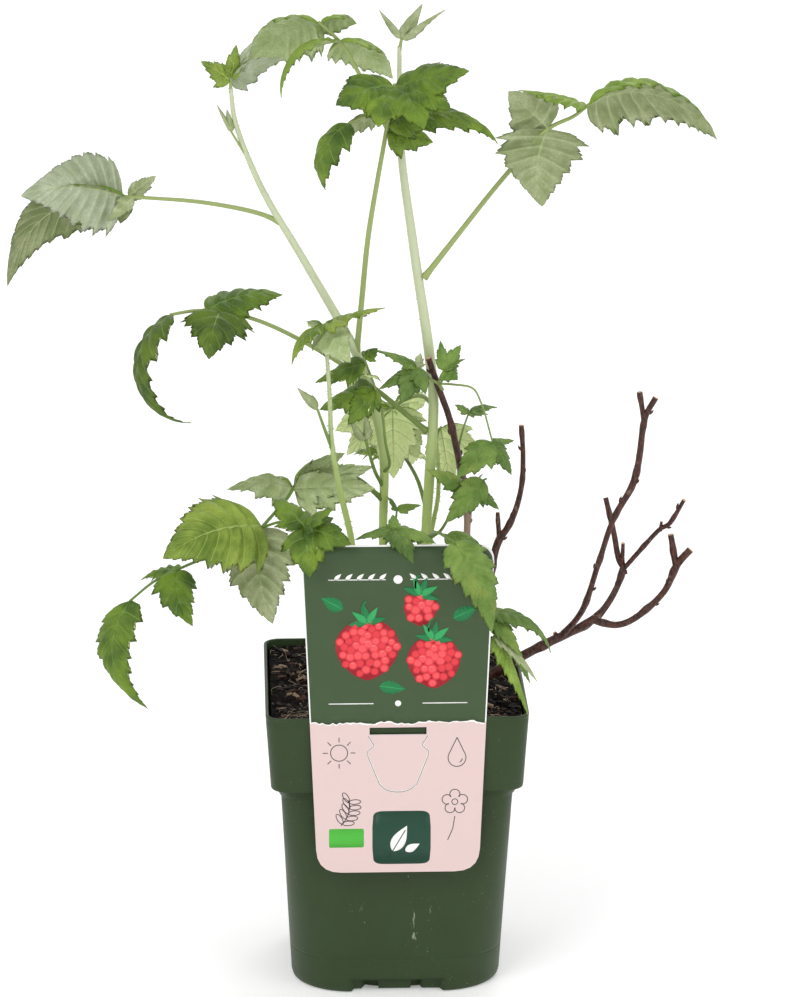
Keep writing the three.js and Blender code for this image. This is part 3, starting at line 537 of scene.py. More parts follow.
# small leaves in the shade are painted duller than their solids' colour, as painted shade; a number
# is one stem of a mass
TONES = {
    "leaves_old_cane": "leafShaded", "leaf_old_cane_small": "leafShaded", "young_sucker": "leafShaded",
    "leaves_low_right": "leafShaded", "leaves_over_label": "leafShaded",
    "leaves_right_side": "leafShaded",
    ("leaves_low_left", 1): "leafDark", ("leaves_low_left", 2): "leafDark",
    ("leaves_right_side", 1): "leafTurned", "leaf_mid_left": "leafDeep",
}  # fmt: skip
FOLDED_TIPS = ("tip_right_cane", "bud_left_cane", "shoot_thin_cane", "shoot_left_cane")
FELT, LATE_FELT, LIT_FELT, RIB_DARK, RIB_PALE, RIB_UNDER = 5, 6, 7, 8, 9, 10
SWEEP = 0.85  # how far the side veins lean forward
KNUCKLE_EACH, BUD_TURN = 24.0, 137.5
BLADE_THICK, ROOT_HALF, NOTCH = 0.3, 0.35, (0.44, 0.26)
STEM_STEP, FOLDED_TIP = 1.5, 50  # pitch of points on a stem, fold of a shut tip in degrees
CHIP_COUNT, FIBRE_COUNT, FRONT_FIBRES, BED_HALF = 1700, 220, 70, 60
PEAT_SIDES, PEAT_RINGS, PEAT_GAP = 420, 104, 0.9
STUDIO_SIDES, DISH_FROM, DISH_RISE = 72, 6, 0.35
# pitch of lobes in mm, depth of notches, depth of pleats
HABIT = {
    "grown": (6.4, 1.0, 0.3),
    "young": (4.9, 0.75, 0.3),
    "fine": (3.9, 0.5, 0.26),
    "small": (4.2, 0.9, 0.3),
    "folded": (4.0, 0.25, 0.3),
}
FINE_MASSES = ("leaf_far_left", "leaf_top_left")
YOUNG_MASSES = ("leaf_top_left", "leaf_far_left", "leaf_far_right")
YOUNG_MASSES += ("leaf_thin_cane_top", "tip_left_cane")
LOBE_AT = (0, 0.14, 0.28, 0.34, 0.46, 0.58, 0.64, 0.74, 0.83, 0.87, 0.93)
LOBE_OUT = (0, 0.2, 0.42, 0.26, 0.5, 0.75, 0.58, 0.78, 0.96, 1, 0.5)
VEIN_FROM, VEIN_AT = 0.83, 0.85
SPREAD_WIDE = (1, 0.87, 0.72, 0.55, 0.38, 0.22, 0.09, 0.028)
SPREAD_SMALL = (1, 0.82, 0.52, 0.24, 0.045)
SQUARE = ((-1, -1), (1, -1), (1, 1), (-1, 1))
SLOTS = ((-14.0, 9.0), (10.0, 6.0))  # in the front and back of the foot: middle, width
SLOT_HIGH = 5.0
SECTION = np.array(
    [
        [0, 51.5, 29], [2, 52.5, 30], [40, 54.4, 24], [75, 56, 15], [105, 57.5, 9],
        [110, 62.5, 9], [149.4, 65, 8],
    ]
)  # fmt: skip
SCUFFS = ((-17, 2.6, 26, 50), (8.5, 2.2, 24, 50), (19, 4.5, 40, 54), (-30, 3, 60, 76))
CHIP_BROWNS = (("dark", "#120b08"), ("brown", "#3a2117"), ("tan", "#907a66"))
PRINT_STEP = 0.05  # how far one layer of print stands over the next
# pictures of berries: x, z, half width, half height, lean, seed
PRINTED_BERRIES = ((-15, 187, 15.5, 14, 10, 5), (17.5, 180, 13, 12, -8, 6))
PRINTED_BERRIES += ((11, 206.5, 8.2, 7.6, -20, 7),)
# pictures of leaves: x, z, length, width, lean
PRINTED_LEAVES = ((27, 201, 13, 8, 25), (-9, 166.5, 13, 7.5, -8), (-27, 206, 12, 8, 150))
# painted light: the back leaves and these take a brighter lit copy of the underside that gives off
# a little light
LIT_MASSES = ("leaves_inner_left",)
# painted shade: a darker copy of the underside for the far-left leaflet in the shade of the one
# before it
SHADED_FELT, SHADED_FELTED = 14, (("leaf_far_left", 1),)
# painted light: these leaflets take a brighter, faintly emitting copy of the underside, as if in
# the light
SUN_FELT, SUN_FELTED = 15, {"leaf_top_left": 4, "leaves_low_left": 4, "leaf_thin_cane_top": 3}
PALE_FELTED = {"leaf_far_left": 1, "tip_left_cane": 4}  # leaflets of the mass

# ---------------------------------------------------------------- meshes from arrays


def unit(vectors):
    """Each vector divided by its own length."""
    return vectors / np.maximum(np.linalg.norm(vectors, axis=-1, keepdims=True), 1e-9)


class Heap:
    """Surfaces gathered into one mesh, each with a finish for its faces."""

    def __init__(self):
        self.points, self.corners, self.sizes, self.finishes = [], [], [], []
        self.count = 0

    def add(self, points, faces, finish=0):
        """Points (n, 3) with rows of faces of one size; finish is one number or one a face."""
        points = np.asarray(points, float).reshape(-1, 3)
        faces = np.asarray(faces, int)
        self.points.append(points)
        self.faces(faces + self.count, finish)
        self.count += len(points)

    def faces(self, faces, finish=0):
        self.corners.append(faces.ravel())
        self.sizes.append(np.full(len(faces), faces.shape[1]))
        self.finishes.append(np.broadcast_to(finish, len(faces)).astype(int))

    def skin(self, rings, finish=0, caps=(None, None)):
        """Closed surface over rings (k, n, 3): quad (a, b, b + n, a + n) joins neighbours a and b
        of a ring to the next ring, and one flat face closes each end."""
        k, n = rings.shape[:2]
        base = self.count
        a = (np.arange(k - 1)[:, None] * n + np.arange(n)).ravel()
        b = (np.arange(k - 1)[:, None] * n + (np.arange(n) + 1) % n).ravel()
        around = np.broadcast_to(finish, (k - 1, n)).ravel()
        self.add(rings, np.stack([a, b, b + n, a + n], 1), around)
        first = np.ravel(finish)[0]
        self.faces(base + np.arange(n)[::-1][None], first if caps[0] is None else caps[0])
        last = base + (k - 1) * n + np.arange(n)[None]
        self.faces(last, first if caps[1] is None else caps[1])

    def piece(self, name, finishes, slot, nodes=(), smooth=True):
        """The heap as an object that rides on the one body and stands for the given nodes."""
        mesh = bpy.data.meshes.new(name)
        points = np.concatenate(self.points) * MM
        corners, sizes = np.concatenate(self.corners), np.concatenate(self.sizes)
        mesh.vertices.add(len(points))
        mesh.vertices.foreach_set("co", points.ravel().astype(np.float32))
        mesh.loops.add(len(corners))
        mesh.loops.foreach_set("vertex_index", corners.astype(np.int32))
        mesh.polygons.add(len(sizes))
        mesh.polygons.foreach_set("loop_start", (np.cumsum(sizes) - sizes).astype(np.int32))
        mesh.polygons.foreach_set("material_index", np.concatenate(self.finishes).astype(np.int32))
        mesh.polygons.foreach_set("use_smooth", np.full(len(sizes), smooth))
        for finish in finishes:
            mesh.materials.append(finish.material)
        mesh.update(calc_edges=True)
        mesh.validate()
        thing = bpy.data.objects.new(name, mesh)
        bpy.context.scene.collection.objects.link(thing)
        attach(thing, "root")
        if nodes:
            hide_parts(*nodes)
        return thing


# ---------------------------------------------------------------- materials


class Sock:
    """A number in a material's tree. + - * / < on it, from either side, add a Math node."""

    def __init__(self, finish, socket):
        self.finish, self.socket = finish, socket

    def maths(self, operation, *values):
        return self.finish.node("ShaderNodeMath", {"operation": operation}, dict(enumerate(values)))

    def __add__(self, other):
        return self.maths("ADD", self, other)

    def __sub__(self, other):
        return self.maths("SUBTRACT", self, other)

    def __rsub__(self, other):
        return self.maths("SUBTRACT", other, self)

    def __mul__(self, other):
        return self.maths("MULTIPLY", self, other)

    def __truediv__(self, other):
        return self.maths("DIVIDE", self, other)

    def __rtruediv__(self, other):
        return self.maths("DIVIDE", other, self)

    def __gt__(self, other):
        return self.maths("GREATER_THAN", self, other)

    def __lt__(self, other):
        return self.maths("LESS_THAN", self, other)

    def __abs__(self):
        return self.maths("ABSOLUTE", self)

    __radd__ = __add__
    __rmul__ = __mul__

    def top(self, other):
        return self.maths("MAXIMUM", self, other)

    def ramp(self, low, high):
        """0 at low, 1 at high, eased between and held beyond."""
        values = {0: self, 1: low, 2: high, 3: 0.0, 4: 1.0}
        return self.finish.node("ShaderNodeMapRange", {"interpolation_type": "SMOOTHSTEP"}, values)


def shade(code):
    """An sRGB hex code as linear RGBA: c / 12.92 below 0.04, else ((c + 0.055) / 1.055) ** 2.4."""
    c = np.array([int(code[i : i + 2], 16) for i in (1, 3, 5)]) / 255
    linear = np.where(c < 0.04045, c / 12.92, ((c + 0.055) / 1.055) ** 2.4)
    return (*linear.tolist(), 1.0)


class Finish:
    """A material with one Principled shader; node() adds any other node to its tree."""

    def __init__(self, name, colour, roughness=0.6, **fixed):
        self.material = bpy.data.materials.new(name)
        self.material.use_nodes = True
        self.tree = self.material.node_tree
        self.base = self.tree.nodes["Principled BSDF"]
        self.put("Base Color", shade(colour) if isinstance(colour, str) else colour)
        self.put("Roughness", roughness)
        for socket, value in fixed.items():
            self.put(socket.replace("_", " "), value)

    def feed(self, socket, value):
        if isinstance(value, Sock):
            self.tree.links.new(value.socket, socket)
        else:
            socket.default_value = value

    def put(self, socket, value):
        self.feed(self.base.inputs[socket], value)

    def node(self, kind, settings=None, values=None, out=0):
        made = self.tree.nodes.new(kind)
        for key, value in (settings or {}).items():
            setattr(made, key, value)
        for key, value in (values or {}).items():
            self.feed(made.inputs[key], value)
        return Sock(self, made.outputs[out])

    def place(self):
        """The point's place on the object, in metres."""
        return self.node("ShaderNodeTexCoord", out="Object")

    def parts(self, vector):
        made = self.node("ShaderNodeSeparateXYZ", values={0: vector})
        return [Sock(self, socket) for socket in made.socket.node.outputs]

    def stretched(self, vector, by):
        settings = {"operation": "MULTIPLY"}
        return self.node("ShaderNodeVectorMath", settings, {0: vector, 1: by})

    def grain(self, size, detail=2.0, stretch=None, roughness=0.5):
        """Noise from 0 to 1 whose blots are about size mm across."""
        at = self.place()
        if stretch:
            at = self.stretched(at, stretch)
        values = {"Vector": at, "Scale": 1 / (size * MM), "Detail": detail, "Roughness": roughness}
        return self.node("ShaderNodeTexNoise", values=values)

    def cells(self, size):
        """Distance to the edges in a net of cells about size mm across."""
        values = {"Vector": self.place(), "Scale": 1 / (size * MM)}
        return self.node("ShaderNodeTexVoronoi", {"feature": "DISTANCE_TO_EDGE"}, values)

    def blend(self, share, a, b):
        """Colour a where share is 0, b where it is 1."""
        a, b = (shade(c) if isinstance(c, str) else c for c in (a, b))
        return self.node("ShaderNodeMix", {"data_type": "RGBA"}, {0: share, 6: a, 7: b}, out=2)

    def relief(self, height, depth, strength=1.0):
        """Bump from a height of 0 to 1 that stands for depth mm."""
        values = {"Height": height, "Distance": depth * MM, "Strength": strength}
        self.put("Normal", self.node("ShaderNodeBump", values=values))


def leaf_upper(name, deep, fresh, patch=0.0):
    """Green of a leaflet's upper side: two greens in cloudy grain, a fine net of veins, and dull
    yellow patches where patch is over 0."""
    leaf = Finish(name, fresh, 0.5, Specular_IOR_Level=0.36)
    wide = leaf.grain(11, 3)
    colour = leaf.blend(wide.ramp(0.25, 0.78), deep, fresh)
    if patch:
        colour = leaf.blend(leaf.grain(14, 2).ramp(0.56, 0.74) * patch, colour, "#a9ab4c")
    net = 1 - leaf.cells(1.3).ramp(0.0, 0.25)
    leaf.put("Base Color", leaf.blend(net * 0.1, colour, "#22360a"))
    leaf.put("Roughness", wide * 0.2 + 0.38)
    leaf.relief(leaf.grain(1.0, 2) * 0.5 - net * 0.7, 0.28, 0.9)
    return leaf


def leaf_under(name, felt, shadow, vein, glow=0.0):
    """Pale felted underside: two pale greens in grain, and a fine greener net of raised veins.
    A leaf with the light behind it gives off a little of its felt colour: painted light,
    emission standing in for light through the leaf."""
    leaf = Finish(name, felt, 0.8, Specular_IOR_Level=0.2, Emission_Color=shade(felt))
    leaf.put("Emission Strength", glow)
    net = 1 - leaf.cells(1.7).ramp(0.0, 0.2)
    colour = leaf.blend(leaf.grain(8, 3).ramp(0.3, 0.75), shadow, felt)
    leaf.put("Base Color", leaf.blend(net * 0.3, colour, vein))
    leaf.relief(net * 0.6 + leaf.grain(0.7, 2) * 0.4, 0.25, 0.8)
    return leaf


def green_stem(name, high, low):
    """Green bark under a pale bloom: paler up the plant, faintly streaked, specked with pores."""
    stem = Finish(name, high, 0.45, Specular_IOR_Level=0.35)
    z = stem.parts(stem.place())[2]
    streak = stem.grain(1.6, 3, stretch=(1, 1, 0.1))
    climb = z.ramp(0.22, 0.38) * 0.85 + streak * 0.3
    colour = stem.blend(climb.ramp(0.05, 1.0), low, high)
    colour = stem.blend(stem.grain(0.7, 1).ramp(0.68, 0.8) * 0.35, colour, "#8a9a55")
    stem.put("Base Color", colour)
    stem.put("Roughness", streak * 0.25 + 0.32)
    stem.relief(streak + stem.grain(0.5, 2) * 0.3, 0.15, 0.5)
    return stem


def brown_bark(name, dark, light, pale):
    """Dry bark: dark and red-brown strands along the limb, and pale scuffed skin near the foot."""
    bark = Finish(name, dark, 0.5, Specular_IOR_Level=0.4)
    x, _, z = bark.parts(bark.place())
    strand = bark.grain(1.1, 4, stretch=(1, 1, 0.4), roughness=0.6)
    blot = bark.grain(5, 3)
    colour = bark.blend(strand.ramp(0.35, 0.7), dark, light)
    foot = (1 - z.ramp(0.238, 0.262)) * (abs(x - 0.037) < 0.0055) * 0.85
    scuff = (blot.ramp(0.62, 0.74) * 0.45).top(foot * strand.ramp(0.2, 0.4))
    bark.put("Base Color", bark.blend(scuff, colour, pale))
    bark.put("Roughness", 0.52 - strand * 0.3)
    bark.relief(strand + blot * 0.4, 0.3, 0.6)
    return bark


def nursery_plastic(name, green, worn):
    """Dull moulded plastic: cloudy green, fine flow lines up the wall, and rubbed pale scuffs on
    the front."""
    wall = Finish(name, green, 0.45, Specular_IOR_Level=0.26)
    x, y, z = wall.parts(wall.place())
    cloud = wall.grain(26, 3)
    flow = wall.grain(5, 2, stretch=(1, 1, 0.05))
    colour = wall.blend(cloud.ramp(0.3, 0.75) * 0.35, green, worn)
    rub = wall.grain(2.2, 4, stretch=(1, 1, 0.35)).ramp(0.57, 0.7)
    marks = None
    for at, wide, low, high in SCUFFS:
        column = 1 - (abs(x - at * MM) / (wide * MM)).ramp(0.3, 1.0)
        height = z.ramp(low * MM, (low + 8) * MM) * (1 - z.ramp((high - 8) * MM, high * MM))
        mark = column * height * rub
        marks = mark if marks is None else marks.top(mark)
    front = 1 - y.ramp(-0.05, -0.045)
    colour = wall.blend(marks * front * 0.6, colour, "#a9b39c")
    dust = wall.grain(1.2, 3).ramp(0.66, 0.75) * wall.grain(20, 2).ramp(0.45, 0.65)
    wall.put("Base Color", wall.blend(dust * 0.4, colour, "#8f9a82"))
    wall.put("Roughness", cloud * 0.18 + flow * 0.12 + 0.3)
    wall.relief(flow * 0.7 + wall.grain(0.8, 2) * 0.3, 0.12, 0.5)
    return wall


def peat(name, dark, light):
    """Moist peat: near-black crumbs with brown ones between."""
    earth = Finish(name, dark, 0.9, Specular_IOR_Level=0.12)
    crumb = earth.grain(1.6, 4)
    earth.put("Base Color", earth.blend(crumb.ramp(0.42, 0.75), dark, light))
    earth.put("Roughness", 0.95 - crumb * 0.25)
    earth.relief(earth.grain(0.8, 4, roughness=0.7), 0.8, 1.0)
    return earth


def plain(name, colour, roughness=0.6, mottle=0.25, size=2.0):
    """One colour, a little darker and lighter by grain."""
    made = Finish(name, colour, roughness, Specular_IOR_Level=0.3)
    base = np.array(shade(colour)[:3])
    darker, lighter = ((*(base * k).clip(0, 1).tolist(), 1.0) for k in (1 - mottle, 1 + mottle))
    made.put("Base Color", made.blend(made.grain(size, 3), darker, lighter))
    made.relief(made.grain(size / 3, 2), 0.1, 0.4)
    return made


def card_plastic(name, face, edge):
    """Printed plastic card: the front face tinted, edges and back white, with a faint grain."""
    card = Finish(name, edge, 0.38, Specular_IOR_Level=0.4)
    _, y, z = card.parts(card.place())
    front = (y < (CARD_FRONT + 0.05) * MM) * (z < 147.5 * MM)
    cloud = card.grain(18, 2)
    colour = card.blend(front, shade(edge), card.blend(cloud * 0.5, face, "#e0c6c2"))
    card.put("Base Color", colour)
    card.put("Roughness", cloud * 0.1 + 0.32)
    return card


# ---------------------------------------------------------------- limbs


def smooth_line(knots, step):
    """Knots [x, y, z, diameter] joined by the centripetal Catmull-Rom curve, which leaves each
    knot p1 for p2 as the cubic with end slopes
    (p1-p0)/d0 - (p2-p0)/(d0+d1) + (p2-p1)/d1, where d is the root of a chord; the diameter runs
    straight between knots. Points are about step apart."""
    knots = np.asarray(knots, float)
    p = np.vstack([2 * knots[0] - knots[1], knots, 2 * knots[-1] - knots[-2]])[:, :3]
    d = np.sqrt(np.linalg.norm(np.diff(p, axis=0), axis=1))[:, None]
    lines = []
    for i in range(1, len(p) - 2):
        p0, p1, p2, p3 = p[i - 1 : i + 3]
        d0, d1, d2 = d[i - 1 : i + 2]
        leave = ((p1 - p0) / d0 - (p2 - p0) / (d0 + d1) + (p2 - p1) / d1) * d1
        reach = ((p2 - p1) / d1 - (p3 - p1) / (d1 + d2) + (p3 - p2) / d2) * d1
        t = np.arange(max(1, round(np.linalg.norm(p2 - p1) / step)))[:, None]
        t = t / len(t)
        line = p1 + leave * t + (3 * (p2 - p1) - 2 * leave - reach) * t**2
        line = line + (2 * (p1 - p2) + leave + reach) * t**3
        thick = knots[i - 1, 3] * (1 - t) + knots[i, 3] * t
        lines.append(np.hstack([line, thick]))
    return np.vstack([*lines, knots[-1]])


def along(line, share):
    """The point at a share of the line's length."""
    run = np.r_[0, np.cumsum(np.linalg.norm(np.diff(line[:, :3], axis=0), axis=1))]
    return np.array([np.interp(share * run[-1], run, line[:, i]) for i in range(3)])


def bearings(line):
    """Forward, across and over at each point: forward is the slope, across the axis least like
    any slope made square to it, and over is forward x across."""
    forward = unit(np.gradient(line[:, :3], axis=0))
    least = np.argmin(np.abs(forward).max(0))
    across = np.eye(3)[least] - forward * forward[:, least : least + 1]
    across = unit(across)
    return forward, across, np.cross(forward, across)


def limb(heap, line, sides, relief=None, caps=(None, None)):
    """A tube: out(a) = across cos a + over sin a, times half the diameter times
    1 + relief(length along, a)."""
    forward, across, over = bearings(line)
    a = 2 * np.pi * np.arange(sides) / sides
    out = across[:, None] * np.cos(a)[:, None] + over[:, None] * np.sin(a)[:, None]
    run = np.r_[0, np.cumsum(np.linalg.norm(np.diff(line[:, :3], axis=0), axis=1))]
    radius = line[:, 3:4] / 2 * (1 + (relief(run[:, None], a) if relief else 0))
    radius = np.broadcast_to(radius, (len(line), sides))
    heap.skin(line[:, None, :3] + out * radius[:, :, None], caps=caps)


def cane_relief(seed):
    """Low ribs along a living cane: 2 per cent of cos(5 a + slow drift)."""
    drift = np.random.default_rng(seed).uniform(0, 6, 3)
    return lambda run, a: (
        0.02 * np.cos(5 * a + 0.02 * run + drift[0]) + 0.02 * np.sin(run / 9 + drift[1] + a)
    )


def bark_relief(seed):
    """Strands and knuckles of old wood: sines of whole turns round it that drift along it, and a
    swelling every KNUCKLE_EACH mm, (cos)**16 of the length."""
    rng = np.random.default_rng(seed)
    turns = rng.integers(3, 11, 7)
    drift = rng.uniform(0, 6.28, (7, 2))
    pace = rng.uniform(0.05, 0.5, 7)

    def relief(run, a):
        strands = sum(
            0.015 * np.sin(n * a + pace[i] * run + drift[i, 0]) for i, n in enumerate(turns)
        )
        knuckle = 0.2 * np.cos(run * np.pi / KNUCKLE_EACH + drift[0, 1]) ** 16
        return strands + knuckle * (1 + 0.4 * np.cos(a + drift[1, 1]))

    return relief


def buds(heap, line, seed):
    """Shut buds on old wood, half a knuckle apart from a seeded start: short cones that lean up
    along the limb, each on the next side round by 137 degrees."""
    rng = np.random.default_rng(60 + seed)
    run = np.r_[0, np.cumsum(np.linalg.norm(np.diff(line[:, :3], axis=0), axis=1))]
    forward, across, over = bearings(line)
    swell = (line[:, 3] * 0.5)[:, None]
    for k, at in enumerate(np.arange(rng.uniform(8, 14), run[-1] - 4, KNUCKLE_EACH / 2)):
        i = np.searchsorted(run, at)
        a = np.radians(BUD_TURN * k + rng.uniform(-20, 20))
        out = across[i] * np.cos(a) + over[i] * np.sin(a)
        foot = line[i, :3] + out * swell[i] * 0.55
        size = rng.uniform(0.7, 1.15)
        rise = [(0, 0, 2.0), (0.9, 0.3, 1.7), (1.5, 1.2, 1.1), (1.7, 2.3, 0.15)]
        rise = np.array(rise) * size
        cone = foot + out * rise[:, :1] + forward[i] * rise[:, 1:2]
        limb(heap, np.hstack([cone, rise[:, 2:]]), 7)


def prickles(heap, line, each_mm, long, thick, seed, low=0.0):
    """Four-sided spikes at seeded places: the foot is a square sunk in the limb, the point stands
    long mm out and leans down by a third of that."""
    rng = np.random.default_rng(seed)
    run = np.r_[0, np.cumsum(np.linalg.norm(np.diff(line[:, :3], axis=0), axis=1))]
    count = int(run[-1] * (1 - low) / each_mm)
    at = rng.uniform(low, 1, count) * run[-1]
    forward, across, over = bearings(line)
    pick = np.searchsorted(run, at).clip(1, len(line) - 1)
    a = rng.uniform(0, 2 * np.pi, count)[:, None]
    out = across[pick] * np.cos(a) + over[pick] * np.sin(a)
    turn = np.cross(forward[pick], out)
    foot = line[pick, :3] + out * line[pick, 3:4] * 0.4
    size = rng.uniform(0.6, 1.2, (count, 1))
    rise, half = out * line[pick, 3:4] * 0.1 + out * long * size, thick / 2 * size
    tip = foot + rise - forward[pick] * long * size / 3
    ring = [foot + forward[pick] * half * u + turn * half * v for u, v in SQUARE]
    points = np.stack([*ring, tip], 1)
    base = 5 * np.arange(count)[:, None]
    sides = np.concatenate([base + np.array([i, (i + 1) % 4, 4]) for i in range(4)])
    heap.add(points, sides)
    heap.faces(heap.count - 5 * count + base + np.array([3, 2, 1, 0]))


# ---------------------------------------------------------------- leaflets


def half_profile(t):
    """Half-width of a leaflet from foot to tip, 1 at its widest: sin(pi sqrt(t))**0.9."""
    return np.sin(np.pi * np.sqrt(np.clip(t, 0, 1))) ** 0.9


def leaflet(heap, foot, tip, width, face, curl, sway, fold, roll, seed, finish, habit):
    """A thin closed leaflet over (t, s), t from foot to tip and s from one margin to the other.
    The midrib is an arc that turns through curl and bulges towards face. A line of one t is a
    side vein's course: it sweeps forward to t + SWEEP t (1 - t) at the margin, where the
    half-width is the profile there, less the notches between lobes and their small teeth, which
    lean forward; habit gives the lobes' pitch in mm, their depth and that of the pleats. The
    height over that is a fold, pleats that sink at the veins, a flutter of each lobe, a margin
    rolled down by roll and the midrib's groove. The underside is that less the thickness and the
    raised veins, and both close at the margin."""
    rng = np.random.default_rng(seed)
    pitch, deep, pleats = habit
    chord = np.asarray(tip, float) - foot
    length = np.linalg.norm(chord)
    forth = chord / length
    up = np.asarray(face, float)
    up = unit(up - forth * (up @ forth))
    side = np.cross(up, forth)
    bend = np.radians(max(curl, 1))
    radius = length / (2 * np.sin(bend / 2))

    lobes = int(np.clip(round(length / pitch), 4, 12))
    t = np.r_[((np.arange(lobes)[:, None] + LOBE_AT) / lobes).ravel(), 1.0][:, None]
    phase = t * lobes
    lobe = np.minimum(phase.astype(int), lobes)[:, 0]
    spread = SPREAD_WIDE if length > 26 else SPREAD_SMALL
    s = np.r_[spread, 0, -np.array(spread[::-1])]
    reach = np.abs(s)

    def each_lobe(low, high):
        """A seeded number for each lobe of each side."""
        table = rng.uniform(low, high, (2, lobes + 1, 1))
        return np.where(s > 0, table[0][lobe], table[1][lobe])

    tooth = np.interp(phase % 1, [*LOBE_AT, 1], [*LOBE_OUT, 0]) * each_lobe(0.7, 1.2)
    notch = deep * np.interp(length, [16, 60], NOTCH) * (1 - 0.3 * t)
    swept = t + SWEEP * t * (1 - t)
    meets = np.clip(swept + 0.22 * (1 - 0.5 * t) * tooth / lobes, 0, 1)
    even = width / 2 * half_profile(swept) * (1 - 0.45 * notch)
    cut = width / 2 * half_profile(meets) * (1 - notch + notch * tooth)
    half = ROOT_HALF * (1 - 0.8 * t) + even + (cut - even) * reach**3
    place = t + (swept - t) * reach**1.4 + (meets - swept) * reach**4
    turn = bend * (place - 0.5)
    out = s * half

    pleat = 0.5 - 0.5 * np.cos(2 * np.pi * (phase - VEIN_AT))
    height = pleats * half * pleat * reach**0.5 * (1 - 0.5 * reach)
    flutter = each_lobe(-0.2, 0.12) * half * reach**3
    height = height + flutter * (0.5 - 0.5 * np.cos(2 * np.pi * phase))
    wave = np.sin(2 * np.pi * 1.4 * t + rng.uniform(0, 6.3) + 1.2 * np.sign(s))
    height = height + 0.08 * half * reach**2 * wave - 0.4 * np.exp(-((out / 1.2) ** 2))
    drop = np.radians(fold) * rng.uniform(0.8, 1.2)
    rolled = np.where(s > 0, roll[0], roll[1]) * rng.uniform(0.6, 1.3, 2)[(s > 0).astype(int)]
    rolled = rolled * half * np.maximum(reach - 0.5, 0) ** 2 / 0.25
    height = height - np.abs(out) * np.sin(drop) - rolled
    veins = 0.45 * (1 - 0.7 * t) * np.exp(-((out / 0.5) ** 2))
    veins = veins + 0.2 * (np.abs(phase % 1 - VEIN_AT) < 0.03) * (1 - reach)
    thick = BLADE_THICK * (1 - reach**4)

    def surface(level):
        """foot + forth x + up y + side z on the arc, raised by level along its normal."""
        x = radius * (np.sin(turn) + np.sin(bend / 2)) + np.sin(turn) * level
        y = radius * (np.cos(turn) - np.cos(bend / 2)) + np.cos(turn) * level
        z = 4 * place * (1 - place) * sway + out * np.cos(drop)
        return foot + forth * x[..., None] + up * y[..., None] + side * z[..., None]

    top = surface(height + thick / 2)
    low = surface(height - thick / 2 - veins * (reach < 1))
    n = len(s) - 1
    upper, under, rib_up, rib_low = finish
    kinds = np.tile(np.r_[np.full(n, upper), np.full(n, under)], (len(t) - 1, 1))
    middle = np.minimum(reach[:-1], reach[1:]) < 0.01
    vein = np.zeros((len(t) - 1, n), bool) | middle
    at_vein = np.arange(len(t) - 1) % len(LOBE_AT) == LOBE_AT.index(VEIN_FROM)
    vein |= at_vein[:, None] & (np.maximum(reach[:-1], reach[1:]) < 0.9)
    kinds[:, :n][vein] = rib_up
    kinds[:, n:][vein[:, ::-1]] = rib_low
    heap.skin(np.concatenate([top, low[:, -2:0:-1]], 1), kinds)

# ---------------------------------------------------------------- camera, light and floor

AIM = Vector((0.00325, 0.0, 0.2427))
AZIMUTH, ELEVATION, DISTANCE = np.radians(-2.0), np.radians(16.25), 2.4
FOCAL_PIXELS, LONG_SIDE = 4818, 997


def make_camera():
    """A long lens at the object's own angle: it stands DISTANCE from the aim, back along
    (sin a cos e, -cos a cos e, sin e)."""
    a, e = AZIMUTH, ELEVATION
    back = Vector((np.sin(a) * np.cos(e), -np.cos(a) * np.cos(e), np.sin(e)))
    data = bpy.data.cameras.new("camera")
    data.sensor_width, data.lens = 36, FOCAL_PIXELS * 36 / LONG_SIDE
    data.clip_start, data.clip_end = 0.05, 60
    camera = bpy.data.objects.new("camera", data)
    camera.location = AIM + back * DISTANCE
    camera.rotation_euler = (-back).to_track_quat("-Z", "Y").to_euler()
    bpy.context.scene.collection.objects.link(camera)
    bpy.context.scene.camera = camera


def soft_light(name, place, size, watts):
    """A square lamp at place, turned to the middle of the plant."""
    data = bpy.data.lights.new(name, "AREA")
    data.shape, data.size, data.energy = "SQUARE", size, watts
    lamp = bpy.data.objects.new(name, data)
    lamp.location = place
    lamp.rotation_euler = (Vector((0, 0, 0.22)) - Vector(place)).to_track_quat("-Z", "Y").to_euler()
    bpy.context.scene.collection.objects.link(lamp)


def make_studio():
    """Lamps, an even pale sky and a floor: a round dish whose height is 0 to 6 m from the middle
    and then rises by the square of the distance."""
    soft_light("key", (-1.5, -2.2, 2.6), 1.6, 36)
    soft_light("fill", (2.4, -1.8, 1.5), 2.0, 20)
    soft_light("rear", (0.6, 2.4, 2.4), 1.6, 26)
    world = bpy.data.worlds.new("studio")
    world.use_nodes = True
    sky = world.node_tree.nodes["Background"]
    sky.inputs["Color"].default_value, sky.inputs["Strength"].default_value = (1, 1, 1, 1), 0.6
    bpy.context.scene.world = world
    bpy.context.scene.view_settings.view_transform = "Standard"

    far = np.r_[0.001, 0.2, 0.5, 1, 2, 4, np.linspace(DISH_FROM, 10, 9)][:, None] / MM
    spoke = np.arange(STUDIO_SIDES)
    a = 2 * np.pi * spoke / STUDIO_SIDES
    rise = np.maximum(far * MM - DISH_FROM, 0) ** 2 * DISH_RISE / MM + 0 * a - 0.2
    dish = np.stack([far * np.cos(a), far * np.sin(a), rise], -1)
    floor = Heap()
    first = np.arange(len(far) - 1)[:, None] * STUDIO_SIDES
    i, j = (first + spoke).ravel(), (first + (spoke + 1) % STUDIO_SIDES).ravel()
    floor.add(dish, np.stack([i, i + STUDIO_SIDES, j + STUDIO_SIDES, j], 1))
    floor.faces(spoke[None])
    paper = Finish("studio_paper", (0.9, 0.9, 0.9, 1.0), 0.9)
    paper.put("Base Color", paper.blend(paper.grain(900, 1) * 0.5, "#f6f6f6", "#f9f9f9"))
    paper.put("Emission Color", (1, 1, 1, 1))
    paper.put("Emission Strength", 0.22)
    floor.piece("studio_floor", [paper], "pot")


# ---------------------------------------------------------------- pot


